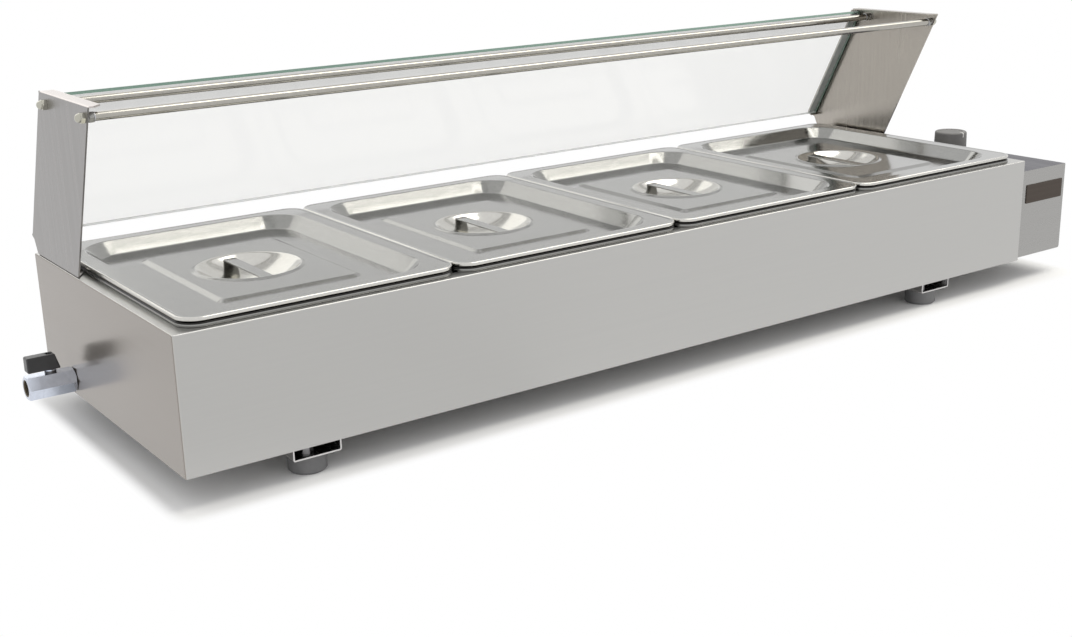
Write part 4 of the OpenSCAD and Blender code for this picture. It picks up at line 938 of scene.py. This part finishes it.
@dataclass
class ControlBox:
    """The folded box at the casing's right end, with its bare plate and the knob."""

    sheet: float = 1.2
    low_corner: float = 3.0
    high_corner: float = 1.5
    flange: float = 12.0
    plate_corner: float = 1.5
    plate_edge: float = 0.35
    plate_rim: float = 2.0
    skirt_height: float = 4.0
    skirt_edge: float = 0.8
    knob_radius: float = 20.0
    knob_rounding: float = 2.2
    knob_wall: float = 2.0
    knob_hub: float = 6.0
    knob_hollow: float = 4.0
    knob_seat: float = 2.6
    knob_rim: float = 5.0
    knob_dip: float = 0.5
    fine_edge: float = 0.4
    pointer_width: float = 1.6
    pointer_drop: float = 11.0
    pointer_proud: float = 0.12

    def shell(self) -> None:
        """Makes the box: open towards the casing, and underneath inside its flange."""
        low, high = Origin.box("control_box")
        shape = Shape().block(tuple(low), tuple(high))
        bm = shape.bm
        inner = [face for face in bm.faces if face.normal.x < -SQUARE]
        bmesh.ops.delete(bm, geom=inner, context="FACES_ONLY")
        for level, radius, steps in ((low.z, self.low_corner, 6), (high.z, self.high_corner, 4)):
            shape.bevel([edge for edge in bm.edges if all(
                vert.co.x > high.x - 1 and abs(vert.co.z - level) < 1 for vert in edge.verts)], radius, steps)
        floor = max((face for face in bm.faces if face.normal.z < -SQUARE), key=lambda face: face.calc_area())
        bmesh.ops.inset_region(bm, faces=[floor], thickness=self.flange, use_even_offset=True)
        bmesh.ops.delete(bm, geom=[floor], context="FACES_ONLY")
        # The top faces get the near-black copy of the box steel: painted shade.
        shape.paint(lambda face: face.normal.z > FACING, 1)
        Making("control_box_shell", "casing", [Finishes.BOX, Finishes.BOX_TOP_SHADE], "control_box",
               wall=self.sheet, soften=0.25).finish(shape)

    def plate(self) -> None:
        """Makes the bare plate on the front, with a bevelled rim."""
        low, high = Origin.box("bare_plate")
        size, middle, thick = high - low, (low + high) / 2, high.y - low.y
        rings = rings_of(size.x, size.z, self.plate_corner, [
            Bend(0, 0), Bend(0, thick, self.plate_edge), Bend(self.plate_rim, thick)], 4)
        shape = Shape().loft(rings, (0, 0), close=True)
        shape.move(Matrix.Translation((middle.x, high.y, middle.z)) @ Matrix.Rotation(math.pi / 2, 4, "X"))
        Making("name_plate_bare", "casing", [Finishes.PLATE], "bare_plate").finish(shape)

    def knob(self) -> None:
        """Makes the moulded knob with its skirt, hollow below."""
        low, high = Origin.box("knob")
        centre = ((low.x + high.x) / 2, (low.y + high.y) / 2, low.z)
        skirt, height, radius = (high.x - low.x) / 2, high.z - low.z, self.knob_radius
        inner, dish, edge = radius - self.knob_wall, height - self.knob_dip, self.fine_edge
        section = rounded_section([
            Bend(0, self.knob_seat), Bend(self.knob_hub, self.knob_seat),
            Bend(self.knob_hub, self.knob_hollow), Bend(inner, self.knob_hollow), Bend(inner, 0, edge),
            Bend(skirt, 0, self.skirt_edge / 2),
            Bend(skirt, self.skirt_edge, edge), Bend(radius + 0.5, self.skirt_height, 1.2),
            Bend(radius, height, self.knob_rounding), Bend(radius - self.knob_rim, height, 0.6),
            Bend(radius - self.knob_rim - 1, dish, 0.6), Bend(0, dish)], 6)
        shape = Shape().turned(section, centre, steps=96).outward()
        Making("knob_moulding", "knob", [Finishes.KNOB], "knob").finish(shape)
        self.pointer(centre, height)

    def pointer(self, centre: Point, height: float) -> None:
        """Makes the pointer line set into the knob's side and rim.

        Args:
            centre: The middle of the knob's underside.
            height: The knob's height.
        """
        proud = self.pointer_proud
        side = rounded_section([
            Bend(self.knob_radius + proud, height - self.pointer_drop),
            Bend(self.knob_radius + proud, height + proud, self.knob_rounding + proud),
            Bend(self.knob_radius - self.knob_rim, height + proud)], 6)
        x, line = centre[0] - self.pointer_width / 2, Shape()
        verts = [line.bm.verts.new((x, centre[1] - radius, centre[2] + rise)) for radius, rise in side]
        edges = [line.bm.edges.new(pair) for pair in zip(verts, verts[1:])]
        grown = bmesh.ops.extrude_edge_only(line.bm, edges=edges)
        bmesh.ops.translate(line.bm, vec=(self.pointer_width, 0, 0), verts=grown_verts(grown))
        line.outward()
        if next(iter(line.bm.faces)).normal.y > 0:
            line.flip()
        Making("knob_pointer", "knob", [Finishes.POINTER], wall=self.fine_edge).finish(line)

    def build(self) -> None:
        """Makes the box, its plate and its knob."""
        self.shell()
        self.plate()
        self.knob()


@dataclass
class DrainValve:
    """The quarter-turn drain valve on the left wall.

    The stem's hole is given by its radius and the height of its floor, the lever's pocket by its radius and
    its depth, and the port's reach by how far outside the body it starts and by its length.
    """

    flats: float = 22.0
    boss_radius: float = 5.5
    boss_edge: float = 0.5
    stem_hole: Pair = (3.1, 9.0)
    stem_x: float = -21.5
    insert_length: float = 13.0
    mouth_radius: float = 7.475
    mouth_depth: float = 12.0
    mouth_chamfer: float = 0.9
    port_radius: float = 4.5
    port_slope: float = 0.8
    port_reach: Pair = (5.0, 60.0)
    thread_turns: int = 8
    thread_pitch: float = 1.3
    thread_flat: float = 0.25
    thread_depth: float = 0.55
    lever_slant: float = 4.0
    lever_heel: float = 1.5
    lever_rounding: float = 1.6
    lever_pocket: Pair = (3.3, 4.0)
    seam: float = 0.05

    def mouth_middle(self) -> Point:
        """The middle of the mouth's outer face."""
        low, high = Origin.box("valve_insert")
        return low.x, (low.y + high.y) / 2, (low.z + high.z) / 2

    def body(self) -> None:
        """Makes the hexagonal body with its boss."""
        x, y, z = self.mouth_middle()
        end = Origin.box("valve_body")[1]
        face, top, (hole, seat) = x + self.insert_length, end.z - z, self.stem_hole
        shape = Shape().hexagon((face + self.seam, y, z), Axis.X, end.x - face - self.seam, self.flats,
                                (False, True))
        lead, length = self.port_reach
        shape.cut(Shape().bar(self.port_radius, 0, length, (face - lead, y, z), Axis.X))
        boss = rounded_section([
            Bend(0, 0), Bend(self.boss_radius, 0), Bend(self.boss_radius, top, self.boss_edge),
            Bend(hole, top), Bend(hole, seat), Bend(0, seat)], 3)
        shape.combine(Shape().turned(boss, (self.stem_x, y, z)), "UNION")
        # The boss's top, under the lever, gets the near-black copy of the plating: painted shade.
        shape.paint(lambda part: part.calc_center_median().z > z + self.flats / 2 + 0.2, 1)
        Making("valve_hexagon", "casing", [Finishes.CHROME, Finishes.VALVE_COLLAR_SHADE], "valve_body",
               soften=0.2).finish(shape)

    def mouth(self) -> None:
        """Makes the mouth piece that is screwed into the body, threaded inside."""
        x, y, z = self.mouth_middle()
        shape = Shape().hexagon((x, y, z), Axis.X, self.insert_length, self.flats, (True, False))
        root, port, inner_end = self.mouth_radius, self.port_radius, self.insert_length + 1
        rim = root + self.mouth_chamfer
        thread = [(0.0, -1.0), (rim + 1.0, -1.0), (root, self.mouth_chamfer)]
        for turn in range(self.thread_turns):
            start = self.mouth_chamfer + turn * self.thread_pitch
            thread += [(root, start + self.thread_flat),
                       (root + self.thread_depth, start + self.thread_pitch / 2),
                       (root, start + self.thread_pitch - self.thread_flat)]
        thread += [(root, self.mouth_depth), (port, self.mouth_depth + self.port_slope),
                   (port, inner_end), (0.0, inner_end)]
        shape.cut(Shape().turned(thread, (x, y, z), Axis.X, 72))

        def bored(face: bmesh.types.BMFace) -> bool:
            """Whether a face lies within the thread's rim and behind the outer face."""
            middle = face.calc_center_median()
            return math.hypot(middle.y - y, middle.z - z) < rim + 0.5 and middle.x > x + self.seam

        # The bore's faces get the dark copy of the plating: painted shade inside the mouth.
        shape.paint(bored, 1)
        Making("valve_mouth", "casing", [Finishes.CHROME, Finishes.VALVE_BORE_SHADE], "valve_insert",
               soften=0.12).finish(shape)

    def lever(self) -> None:
        """Makes the moulded lever, slanted towards the wall and rounded all over."""
        low, high = Origin.box("valve_lever")
        top, r = high.z, self.lever_rounding
        corners = [Bend(low.x, low.z, r), Bend(high.x, low.z, 0.6),
                   Bend(high.x, low.z + self.lever_heel, 1.0),
                   Bend(high.x - self.lever_slant, top, r), Bend(low.x, top, r)]
        outline = rounded_section([corners[-1], *corners, corners[0]])[1:-1]
        shape = Shape().prism([(x, low.y, z) for x, z in outline], (0, high.y - low.y, 0))
        flat = [face for face in shape.bm.faces if abs(face.normal.y) > SQUARE]
        shape.bevel({edge for face in flat for edge in face.edges}, 1.0, 4)
        radius, depth = self.lever_pocket
        shape.cut(Shape().bar(radius, 0, 2 * depth + 1, (self.stem_x, (low.y + high.y) / 2, top - depth)))
        Making("valve_lever_moulding", "valve_handle", [Finishes.BLACK], "valve_lever").finish(shape)

    def build(self) -> None:
        """Makes the valve's body, its mouth piece and its lever."""
        self.body()
        self.mouth()
        self.lever()


@dataclass
class Guard:
    """The leaning glass guard: two folded plates, the pane, and the tie rods with their nuts.

    The knee is a place in Y and Z, and the notch and the cut beside it are steps in Y and Z. A screw's nut
    is given by its size across flats and its height, and its cross by the length and width of a slot.
    """

    inset: float = 1.0
    sheet: float = 1.5
    deck: float = 124.0
    top: float = 290.5
    foot_front: float = 224.0
    foot_back: float = 339.0
    foot_notch: Pair = (2.0, 3.0)
    top_front: float = 143.0
    top_back: float = 275.0
    knee: Pair = (353.0, 141.5)
    knee_cut: Pair = (6.0, 3.2)
    top_flange: float = 13.5
    foot_flange: float = 11.0
    back_flange: float = 13.0
    top_mitre: float = 8.0
    foot_mitre: float = 15.0
    foot_clear: float = 5.0
    lip: float = 9.5
    lip_gap: float = 0.2
    slit: float = 2.0
    bend: float = 1.8
    glass: float = 5.0
    glass_edge: float = 0.25
    glass_gap: float = 1.0
    glass_short: float = 3.0
    pad: float = 1.0
    rod: float = 8.0
    rod_front: float = 154.5
    rod_back: float = 257.0
    rod_height: float = 280.0
    rod_edge: float = 0.4
    nut_flats: float = 9.0
    nut: float = 5.0
    washer: float = 1.0
    washer_edge: float = 0.25
    thread: float = 5.0
    thread_play: float = 0.05
    dome: float = 8.5
    dome_share: float = 0.9
    screw_radius: float = 3.8
    screw_rise: float = 2.6
    screw_dome: float = 2.0
    screw_floor: float = 1.3
    screw_shank: float = 2.0
    screw_nut: Pair = (7.0, 4.0)
    cross: Pair = (3.4, 0.8)

    def lean(self) -> Matrix:
        """The frame of the leaning edge: Z up along it and -Y towards the front, from the knee."""
        angle = math.atan2(self.knee[0] - self.top_back, self.top - self.knee[1])
        return Matrix.Translation((0, self.knee[0], self.knee[1])) @ Matrix.Rotation(angle, 4, "X")

    def slope(self) -> float:
        """The length of the leaning edge."""
        return math.hypot(self.knee[0] - self.top_back, self.top - self.knee[1])

    def plate(self) -> Shape:
        """Makes the left plate: web, top flange, foot flange, back flange and the lip under the glass.

        Returns:
            The plate's outer face, not yet thick.
        """
        x0, lean, deck, top = self.inset, self.lean(), self.deck, self.top
        low_back = lean @ Vector((x0, 0, self.foot_clear))
        high_back = lean @ Vector((x0, 0, self.slope() - self.slit))
        top_end = self.top_back - self.slit
        notch, cut = self.foot_notch, self.knee_cut
        foot = [(self.foot_front, deck), (self.foot_back, deck), (self.foot_back + notch[0], deck + notch[1]),
                (self.knee[0] - cut[0], self.knee[1] - cut[1]), self.knee]
        head = [(self.top_back, top), (top_end, top), (self.top_front, top)]
        web = [*((x0, *point) for point in foot), low_back, high_back, *((x0, *point) for point in head)]
        x1, x2 = x0 + self.top_flange, x0 + self.foot_flange
        top_flange = [(x0, self.top_front, top), (x0, top_end, top), (x1, top_end, top),
                      (x1, self.top_front + self.top_mitre, top), (x1 - self.top_mitre, self.top_front, top)]
        foot_flange = [(x0, self.foot_front, deck), (x0, self.foot_back, deck), (x2, self.foot_back, deck),
                       (x2, self.foot_front + self.foot_mitre, deck)]
        across = Vector((self.back_flange, 0, 0))
        forward = lean.to_3x3() @ Vector((0, -self.lip, 0))
        start, end = low_back + Vector((self.sheet + self.lip_gap, 0, 0)), low_back + across
        back_flange = [low_back, high_back, high_back + across, end, start]
        lip = [start, end, end + forward, start + forward]
        shape = Shape().faces([web, top_flange, foot_flange, back_flange, lip])
        shape.bevel(shape.folds(), self.bend, 5)
        largest = max(shape.bm.faces, key=lambda face: face.calc_area())
        return shape.flip() if largest.normal.x > 0 else shape

    def at_right(self) -> Matrix:
        """Mirrors a piece at the left end to the right end."""
        return Matrix.Translation((Origin.casing().x, 0, 0)) @ Matrix.Diagonal((-1, 1, 1, 1))

    def plates(self) -> None:
        """Makes both plates."""
        for side, place, finishes in (
                ("left", Matrix.Identity(4), [Finishes.GUARD_LEFT_SHADE, Finishes.GUARD_TOP_LIT]),
                ("right", self.at_right(), [Finishes.GUARD_RIGHT])):
            plate = self.plate().move(place)
            if len(finishes) > 1:
                # The left plate's top flange gets the lighter copy of the guard steel: painted light.
                plate.paint(lambda face: face.calc_center_median().z > self.top - self.bend / 2, 1)
            Making(f"guard_side_{side}", "casing", finishes, f"guard_plate_{side}",
                   wall=self.sheet, soften=0.2).finish(plate)

    def pane(self) -> None:
        """Makes the glass pane, clear on its faces, green at its ground top and end edges, and with painted
        light on its foot edge.
        """
        x0 = self.inset + self.sheet + self.glass_gap
        front = self.sheet + self.pad + self.glass
        low = (x0, -front, self.foot_clear + self.sheet)
        high = (Origin.casing().x - x0, -front + self.glass, self.slope() - self.glass_short)
        shape = Shape().block(low, high, self.glass_edge, 2)
        shape.paint(lambda face: face.normal.z > SQUARE or abs(face.normal.x) > SQUARE, 1)
        # The foot edge gets the pale copy of the edge finish: painted light.
        shape.paint(lambda face: face.normal.z < -0.2, 2)
        Making("glass_sheet", "casing", [Finishes.GLASS, Finishes.GLASS_EDGE, Finishes.GLASS_FOOT_LIT],
               "glass_pane").finish(shape.move(self.lean()))

    def rods(self) -> None:
        """Makes the two tie rods with bevelled shoulders and turned-down threaded ends."""
        shoulder = self.inset + self.sheet + self.nut + 2 * self.washer
        for name, y in (("front", self.rod_front), ("back", self.rod_back)):
            low, high = Origin.box(f"{name}_rod")
            r, thread, edge = self.rod / 2, self.thread / 2 - self.thread_play, self.rod_edge
            first, last, span = shoulder - low.x, Origin.casing().x - shoulder - low.x, high.x - low.x
            section = rounded_section([
                Bend(0, 0), Bend(thread, 0, edge), Bend(thread, first), Bend(r, first, edge),
                Bend(r, last, edge), Bend(thread, last), Bend(thread, span, edge), Bend(0, span)], 3)
            shape = Shape().turned(section, (low.x, y, self.rod_height), Axis.X, 48)
            Making(f"tie_rod_{name}", "casing", [Finishes.ROD], f"{name}_rod").finish(shape.outward())

    def fasteners(self) -> None:
        """Makes the nuts and washers inside the plates and the dome nuts outside them."""
        inner, z, tip = self.inset + self.sheet, self.rod_height, -self.dome / 2
        bore, outer, base = self.thread / 2 + self.thread_play, self.nut_flats / 2, self.inset + tip
        ring = rounded_section([
            Bend(bore, 0), Bend(outer, 0, self.washer_edge), Bend(outer, self.washer, self.washer_edge),
            Bend(bore, self.washer), Bend(bore, 0)], 2)
        cap = outer * self.dome_share
        crown = rounded_section([
            Bend(0, tip), Bend(cap, tip, cap - 0.1), Bend(cap, 1.0), Bend(0, 1.0)], 10)
        nuts, washers, domes = Shape(), Shape(), Shape()
        for y in (self.rod_front, self.rod_back):
            place = (inner + self.washer, y, z)
            nut = Shape().hexagon(place, Axis.X, self.nut, self.nut_flats, (True, True))
            nuts.join(nut.cut(Shape().bar(bore, -1, self.nut + 2, place, Axis.X)))
            for x in (inner, inner + self.washer + self.nut):
                washers.turned(ring, (x, y, z), Axis.X, 48)
            dome = Shape().hexagon((base, y, z), Axis.X, self.dome / 2, self.nut_flats, (True, False))
            domes.join(dome.combine(Shape().turned(crown, (base, y, z), Axis.X), "UNION"))
        for shape, name, finish, soften in ((nuts, "rod_nuts", Finishes.NUT, 0.15),
                                            (washers, "rod_washers", Finishes.ZINC, 0.0),
                                            (domes, "dome_nuts", Finishes.DOME, 0.15)):
            shape.join(Shape().join(shape).move(self.at_right())).outward()
            Making(f"{name}_turned", "casing", [finish], name, soften=soften).finish(shape)

    def screws(self) -> None:
        """Makes the round-headed screws that hold the plates' feet, with a cross recess and a nut below."""
        low, high = Origin.box("guard_screws")
        radius, rise, shank = self.screw_radius, self.screw_rise, self.screw_shank
        seat, (flats, nut) = self.deck + self.sheet, self.screw_nut
        left, below = low.x + radius, low.z - seat
        head_section = rounded_section([
            Bend(0, 0), Bend(radius, 0, 0.3), Bend(radius, rise, self.screw_dome), Bend(0, rise)], 5)
        shank_section = rounded_section([
            Bend(0, below), Bend(shank, below, 0.4), Bend(shank, 0.2), Bend(0, 0.2)], 2)
        shape = Shape()
        for y in (low.y + radius, high.y - radius):
            head = Shape().turned(head_section, (left, y, seat))
            for width, length in (self.cross, self.cross[::-1]):
                head.cut(Shape().block((left - width / 2, y - length / 2, seat + self.screw_floor),
                                       (left + width / 2, y + length / 2, seat + 4)))
            shape.join(head).turned(shank_section, (left, y, seat), steps=32)
            shape.hexagon((left, y, low.z + 1.0), Axis.Z, nut, flats, (True, False))
        shape.join(Shape().join(shape).move(self.at_right())).outward()
        Making("guard_screws_cross", "casing", [Finishes.POLISHED], "guard_screws").finish(shape)

    def build(self) -> None:
        """Makes the whole guard."""
        self.plates()
        self.pane()
        self.rods()
        self.fasteners()
        self.screws()


@dataclass
class PanRow:
    """The four pans and their pressed lids, each with a strap across its bowl.

    A flange is given by its width at the sides and at the front and back, the raised panel by its width, its
    length and its corner radius, and the strap by its width and its thickness.
    """

    count: int = 4
    sheet: float = 0.8
    corner: float = 19.0
    over_deck: float = 0.3
    rim_bend: float = 3.2
    body_inset: float = 10.8
    body_corner: float = 41.5
    taper: float = 4.0
    floor_rounding: float = 12.0
    flange: Pair = (17.2, 14.5)
    edge_depth: float = 3.5
    edge_hem: float = 2.4
    flange_drop: float = 0.35
    bead_drop: float = 0.05
    dish_corner: float = 38.0
    dish_depth: float = 12.8
    slope: float = 12.5
    panel: Point = (142.0, 190.0, 8.0)
    panel_rise: float = 2.2
    panel_slope: float = 5.0
    bowl: float = 46.5
    bowl_depth: float = 18.0
    bowl_steps: int = 22
    lip: float = 6.5
    lip_rise: float = 1.6
    lip_fall: float = 0.5
    lip_steps: int = 10
    strap: Pair = (12.5, 1.5)
    strap_gap: float = 0.2
    strap_slant: float = 1.8
    strap_edge: float = 0.5
    bead: float = 2.0
    # The height of the painted shade band at the top of the pan's turned-down edge.
    painted_shade_band: float = 2.4

    def pan(self, index: int) -> None:
        """Makes one pan: turned-down edge, flat rim, leaning walls and a rounded floor.

        Args:
            index: The pan's number from the left.
        """
        low, high = Origin.box(f"pan_{index}")
        size, middle, inset = high - low, (low + high) / 2, self.body_inset
        rings = rings_of(size.x, size.y, self.corner, [
            Bend(0, Origin.casing().z + self.over_deck), Bend(0, high.z, self.rim_bend), Bend(6, high.z)])
        rings += rings_of(size.x - 2 * inset, size.y - 2 * inset, self.body_corner, [
            Bend(-3, high.z), Bend(0, high.z, 2.5), Bend(self.taper, low.z, self.floor_rounding),
            Bend(self.taper + 20, low.z)], 7)
        shape = Shape().loft(rings, (middle.x, middle.y), close=True)
        # A band at the top of the rim's turned-down edge gets the near-black copy of the pan steel: painted
        # shade in the gap under the lid's edge.
        shape.paint(lambda face: self.inset(face, middle, size) < inset / 2 and
                    high.z - self.painted_shade_band < face.calc_center_median().z < high.z - 0.05, 1)
        Making(f"pan_{index}_pressing", f"pan_{index}", [Finishes.PAN, Finishes.PAN_EDGE_SHADE], f"pan_{index}",
               wall=self.sheet).finish(shape)

    def lid(self, index: int) -> None:
        """Makes one lid: edge, flange, dish, raised panel and round bowl in one pressed sheet.

        Args:
            index: The lid's number from the left.
        """
        low, high = Origin.box(f"lid_{index}")
        size, middle = high - low, (low + high) / 2
        floor, edge, brim = high.z - self.dish_depth, high.z - self.edge_depth, high.z - self.flange_drop
        panel = floor + self.panel_rise
        rings = rings_of(size.x, size.y, self.corner, [
            Bend(self.edge_hem, edge), Bend(0, edge, 0.8), Bend(0, high.z, 1.5),
            Bend(3.0, high.z - self.bead_drop, 2.0), Bend(4.5, brim, 2.0), Bend(7, brim)])
        rings += rings_of(size.x - 2 * self.flange[0], size.y - 2 * self.flange[1], self.dish_corner, [
            Bend(-4, brim), Bend(0, brim, 2.5), Bend(self.slope, floor, 3.0), Bend(self.slope + 4, floor)])
        rings += rings_of(*self.panel, [
            Bend(-3, floor), Bend(0, floor, 2.0), Bend(self.panel_slope, panel, 2.0), Bend(7, panel)])
        rings += self.bowl_rings(panel)
        shape = Shape().loft(rings, (middle.x, middle.y), close=True)
        # The edge and bead, and the bowl with the inner half of its lip, get the lighter copy of the lid
        # steel: painted highlight.
        shape.paint(lambda face: self.inset(face, middle, size) < self.bead or
                    (face.calc_center_median().xy - middle.xy).length < self.bowl + self.lip / 2, 1)
        Making(f"lid_{index}_pressing", f"lid_{index}", [Finishes.LID, Finishes.LID_HIGHLIGHT], f"lid_{index}",
               wall=self.sheet).finish(shape)

    def inset(self, face: bmesh.types.BMFace, middle: Vector, size: Vector) -> float:
        """How far inside a pressing's outline a face lies.

        Args:
            face: The face.
            middle: The pressing's middle.
            size: The pressing's size.

        Returns:
            The distance of the face's middle from the outline.
        """
        off = face.calc_center_median() - middle
        x, y = (abs(part) - whole / 2 + self.corner for part, whole in zip(off.xy, size.xy))
        return self.corner - math.hypot(max(x, 0.0), max(y, 0.0)) - min(max(x, y), 0.0)

    def bowl_rings(self, panel: float) -> list[Ring]:
        """The rounds of the bowl's lip and of its spherical hollow.

        Args:
            panel: The height of the raised panel.

        Returns:
            The rounds, outermost first.
        """
        outer = self.bowl + self.lip
        rings = [Ring(2 * (outer + 1), 0, 0, panel)]
        for step in range(self.lip_steps + 1):
            part = step / self.lip_steps
            height = panel + self.lip_rise * math.sin(math.pi * part) - self.lip_fall * part
            rings.append(Ring(2 * (outer - part * self.lip), 0, 0, height))
        sphere = (self.bowl ** 2 + self.bowl_depth ** 2) / (2 * self.bowl_depth)
        centre = panel - self.lip_fall - self.bowl_depth + sphere
        reach = math.asin(self.bowl / sphere)
        for step in range(1, self.bowl_steps):
            angle = reach * (1 - step / self.bowl_steps)
            rings.append(Ring(2 * sphere * math.sin(angle), 0, 0, centre - sphere * math.cos(angle)))
        return rings

    def handle(self, index: int) -> None:
        """Makes one strap handle: a flat bar with soft edges, its ends cut to the bowl's curve.

        Args:
            index: The lid's number from the left.
        """
        low, high = Origin.box(f"lid_handle_{index}")
        middle = (low + high) / 2
        half, thick = self.strap[0] / 2, self.strap[1]
        shape = Shape().block((middle.x - half, low.y + self.strap_gap, high.z - thick),
                              (middle.x + half, high.y - self.strap_gap, high.z))
        for vert in shape.bm.verts:
            if vert.co.z < high.z - thick / 2:
                vert.co.y += math.copysign(self.strap_slant, middle.y - vert.co.y)
        shape.bevel([edge for edge in shape.bm.edges
                     if abs((edge.verts[0].co - edge.verts[1].co).y) > self.bowl], self.strap_edge, 4)
        Making(f"lid_{index}_strap", f"lid_{index}", [Finishes.LID], f"lid_handle_{index}").finish(shape)

    def build(self) -> None:
        """Makes every pan, lid and handle."""
        for index in range(1, self.count + 1):
            self.pan(index)
            self.lid(index)
            self.handle(index)


class Fittings:
    """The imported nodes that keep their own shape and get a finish."""

    BY_FINISH: dict[Finish, tuple[str, ...]] = {
        Finishes.PLAIN: ("base_plate", "control_box_base", "bulb_clips", "drain_pipe"),
        Finishes.TANK: ("inner_tank", "element_supports"),
        Finishes.WOOL: ("insulation",),
        Finishes.ELEMENT: ("heating_element",),
        Finishes.CHROME: ("valve_ball", "valve_stem", "packing_nut"),
        Finishes.ZINC: ("foot_screws", "foot_nuts", "box_screws", "thermostat_screws", "lever_screw"),
        Finishes.BRASS: ("thermostat_shaft", "earth_stud", "element_nuts"),
        Finishes.COPPER: ("sensing_bulb",),
        Finishes.RUBBER: ("element_seals",),
        Finishes.BLACK: ("cable_gland", "gland_nut"),
        Finishes.IVORY: ("thermostat_body", "terminal_block"),
        Finishes.WHITE: ("valve_seats",),
        Finishes.STRIP: ("glass_strips",),
        Finishes.WIRE: ("wiring",),
    }

    def build(self) -> None:
        """Gives each of these nodes its finish."""
        for finish, nodes in self.BY_FINISH.items():
            for piece in (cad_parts[node] for node in nodes):
                for slot in piece.material_slots:
                    slot.material = finish.material()
                if not piece.material_slots:
                    piece.data.materials.append(finish.material())
            LOG.info("%s: %s", finish.name, ", ".join(nodes))


@dataclass(frozen=True)
class SoftBox:
    """A soft lamp, measured in metres. A glow of 1 is as bright as white."""

    name: str
    place: Point
    target: Point
    size: Pair
    glow: float
    colour: Colour

    def hang(self) -> None:
        """Hangs the lamp and turns it to its target."""
        data = bpy.data.lights.new(self.name, "AREA")
        data.shape, data.size, data.size_y = "RECTANGLE", *self.size
        data.energy = self.glow * math.pi * self.size[0] * self.size[1]
        data.color = self.colour
        made = placed(self.name, data)
        made.location = self.place
        way = Vector(self.target) - Vector(self.place)
        made.rotation_euler = way.to_track_quat("-Z", "Y").to_euler()


@dataclass
class Studio:
    """A white studio: floor, world, soft lamps and the camera."""

    focal: float = 1444.0
    image_width: float = 1072.0
    sensor: float = 36.0
    clip: Pair = (0.01, 100.0)
    camera_place: Point = (-394.66, -1061.35, 465.42)
    camera_right: Point = (0.81248, -0.58252, -0.02356)
    camera_down: Point = (-0.18854, -0.22431, -0.95611)
    camera_forward: Point = (0.55166, 0.78126, -0.29207)
    floor_size: float = 30.0
    floor_colour: Colour = (0.93, 0.93, 0.93)
    shadow_start: float = 0.008
    shadow_reach: float = 0.042
    shadow_squeeze: Point = (1.9, 1.45, 1.0)
    white: tuple[float, ...] = (1.0, 1.0, 1.0, 1.0)
    sky: float = 0.8
    lamps: tuple[SoftBox, ...] = (
        SoftBox("softbox_over", (1.35, -0.5, 1.95), (1.3, -0.5, 0.0), (1.0, 2.6), 3.1, (1.0, 0.975, 0.90)),
        SoftBox("softbox_back", (-0.55, 1.9, 1.5), (0.0, 0.0, 0.1), (2.0, 1.5), 0.75, (1.0, 0.985, 0.94)),
    )

    def camera(self) -> None:
        """Stands the camera where the photograph was taken from."""
        data = bpy.data.cameras.new("camera")
        data.sensor_width = self.sensor
        data.lens = self.focal / self.image_width * self.sensor
        data.clip_start, data.clip_end = self.clip
        made = placed("camera", data)
        right, down, forward = map(Vector, (self.camera_right, self.camera_down, self.camera_forward))
        turn = Matrix((right, -down, -forward)).transposed().to_4x4()
        made.matrix_world = Matrix.Translation(Origin.matrix() @ Vector(self.camera_place)) @ turn
        bpy.context.scene.camera = made

    def floor(self) -> None:
        """Lays the pale floor, which keeps the object's shadow near it and is plain white further off."""
        bm = bmesh.new()
        bmesh.ops.create_grid(bm, x_segments=1, y_segments=1, size=self.floor_size / 2)
        mesh = bpy.data.meshes.new("studio_floor")
        bm.to_mesh(mesh)
        bm.free()
        material = bpy.data.materials.new("studio_floor")
        sheet = NodeSheet(material)
        near = sheet.link("ShaderNodeBsdfDiffuse", {}, {"Color": (*self.floor_colour, 1.0)})
        far = sheet.link("ShaderNodeEmission", {}, {"Color": self.white, "Strength": 1.0})
        low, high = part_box("outer_casing")[0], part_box("control_box")[1]
        middle, half, zero = (low + high) / 2, (high - low) / 2, (0, 0, 0)
        beyond = sheet.place()
        for operation, amount in (("SUBTRACT", (middle.x, middle.y, 0)), ("ABSOLUTE", zero),
                                  ("SUBTRACT", (half.x, half.y, 0)), ("MAXIMUM", zero),
                                  ("MULTIPLY", self.shadow_squeeze)):
            beyond = sheet.vector(operation, beyond, amount)
        distance = sheet.vector("LENGTH", beyond, zero, "Value")
        spread = sheet.ramp(distance, self.shadow_start, self.shadow_reach) * sheet.seen()
        sheet.end(sheet.link("ShaderNodeMixShader", {}, {0: spread, 1: near, 2: far}))
        mesh.materials.append(material)
        placed("studio_floor", mesh)

    def world(self) -> None:
        """Lights everything evenly, and shows white to the camera, in metal and through glass."""
        world = bpy.data.worlds.new("studio_world")
        bpy.context.scene.world = world
        sheet = NodeSheet(world, "ShaderNodeOutputWorld")
        strength = sheet.seen() * (1.0 - self.sky) + self.sky
        sheet.end(sheet.link("ShaderNodeBackground", {}, {"Color": self.white, "Strength": strength}))

    def build(self) -> None:
        """Makes the studio."""
        bpy.context.scene.view_settings.view_transform = "Standard"
        self.camera()
        self.floor()
        self.world()
        for lamp in self.lamps:
            lamp.hang()


def main() -> None:
    """Builds the studio and every sub-assembly."""
    logging.basicConfig(level=logging.INFO, format="%(name)s: %(message)s")
    for part in (Studio(), Casing(), Underframe(), ControlBox(), DrainValve(), Guard(), PanRow(), Fittings()):
        part.build()
        LOG.info("%s done", type(part).__name__)


if __name__ == "__main__":
    main()
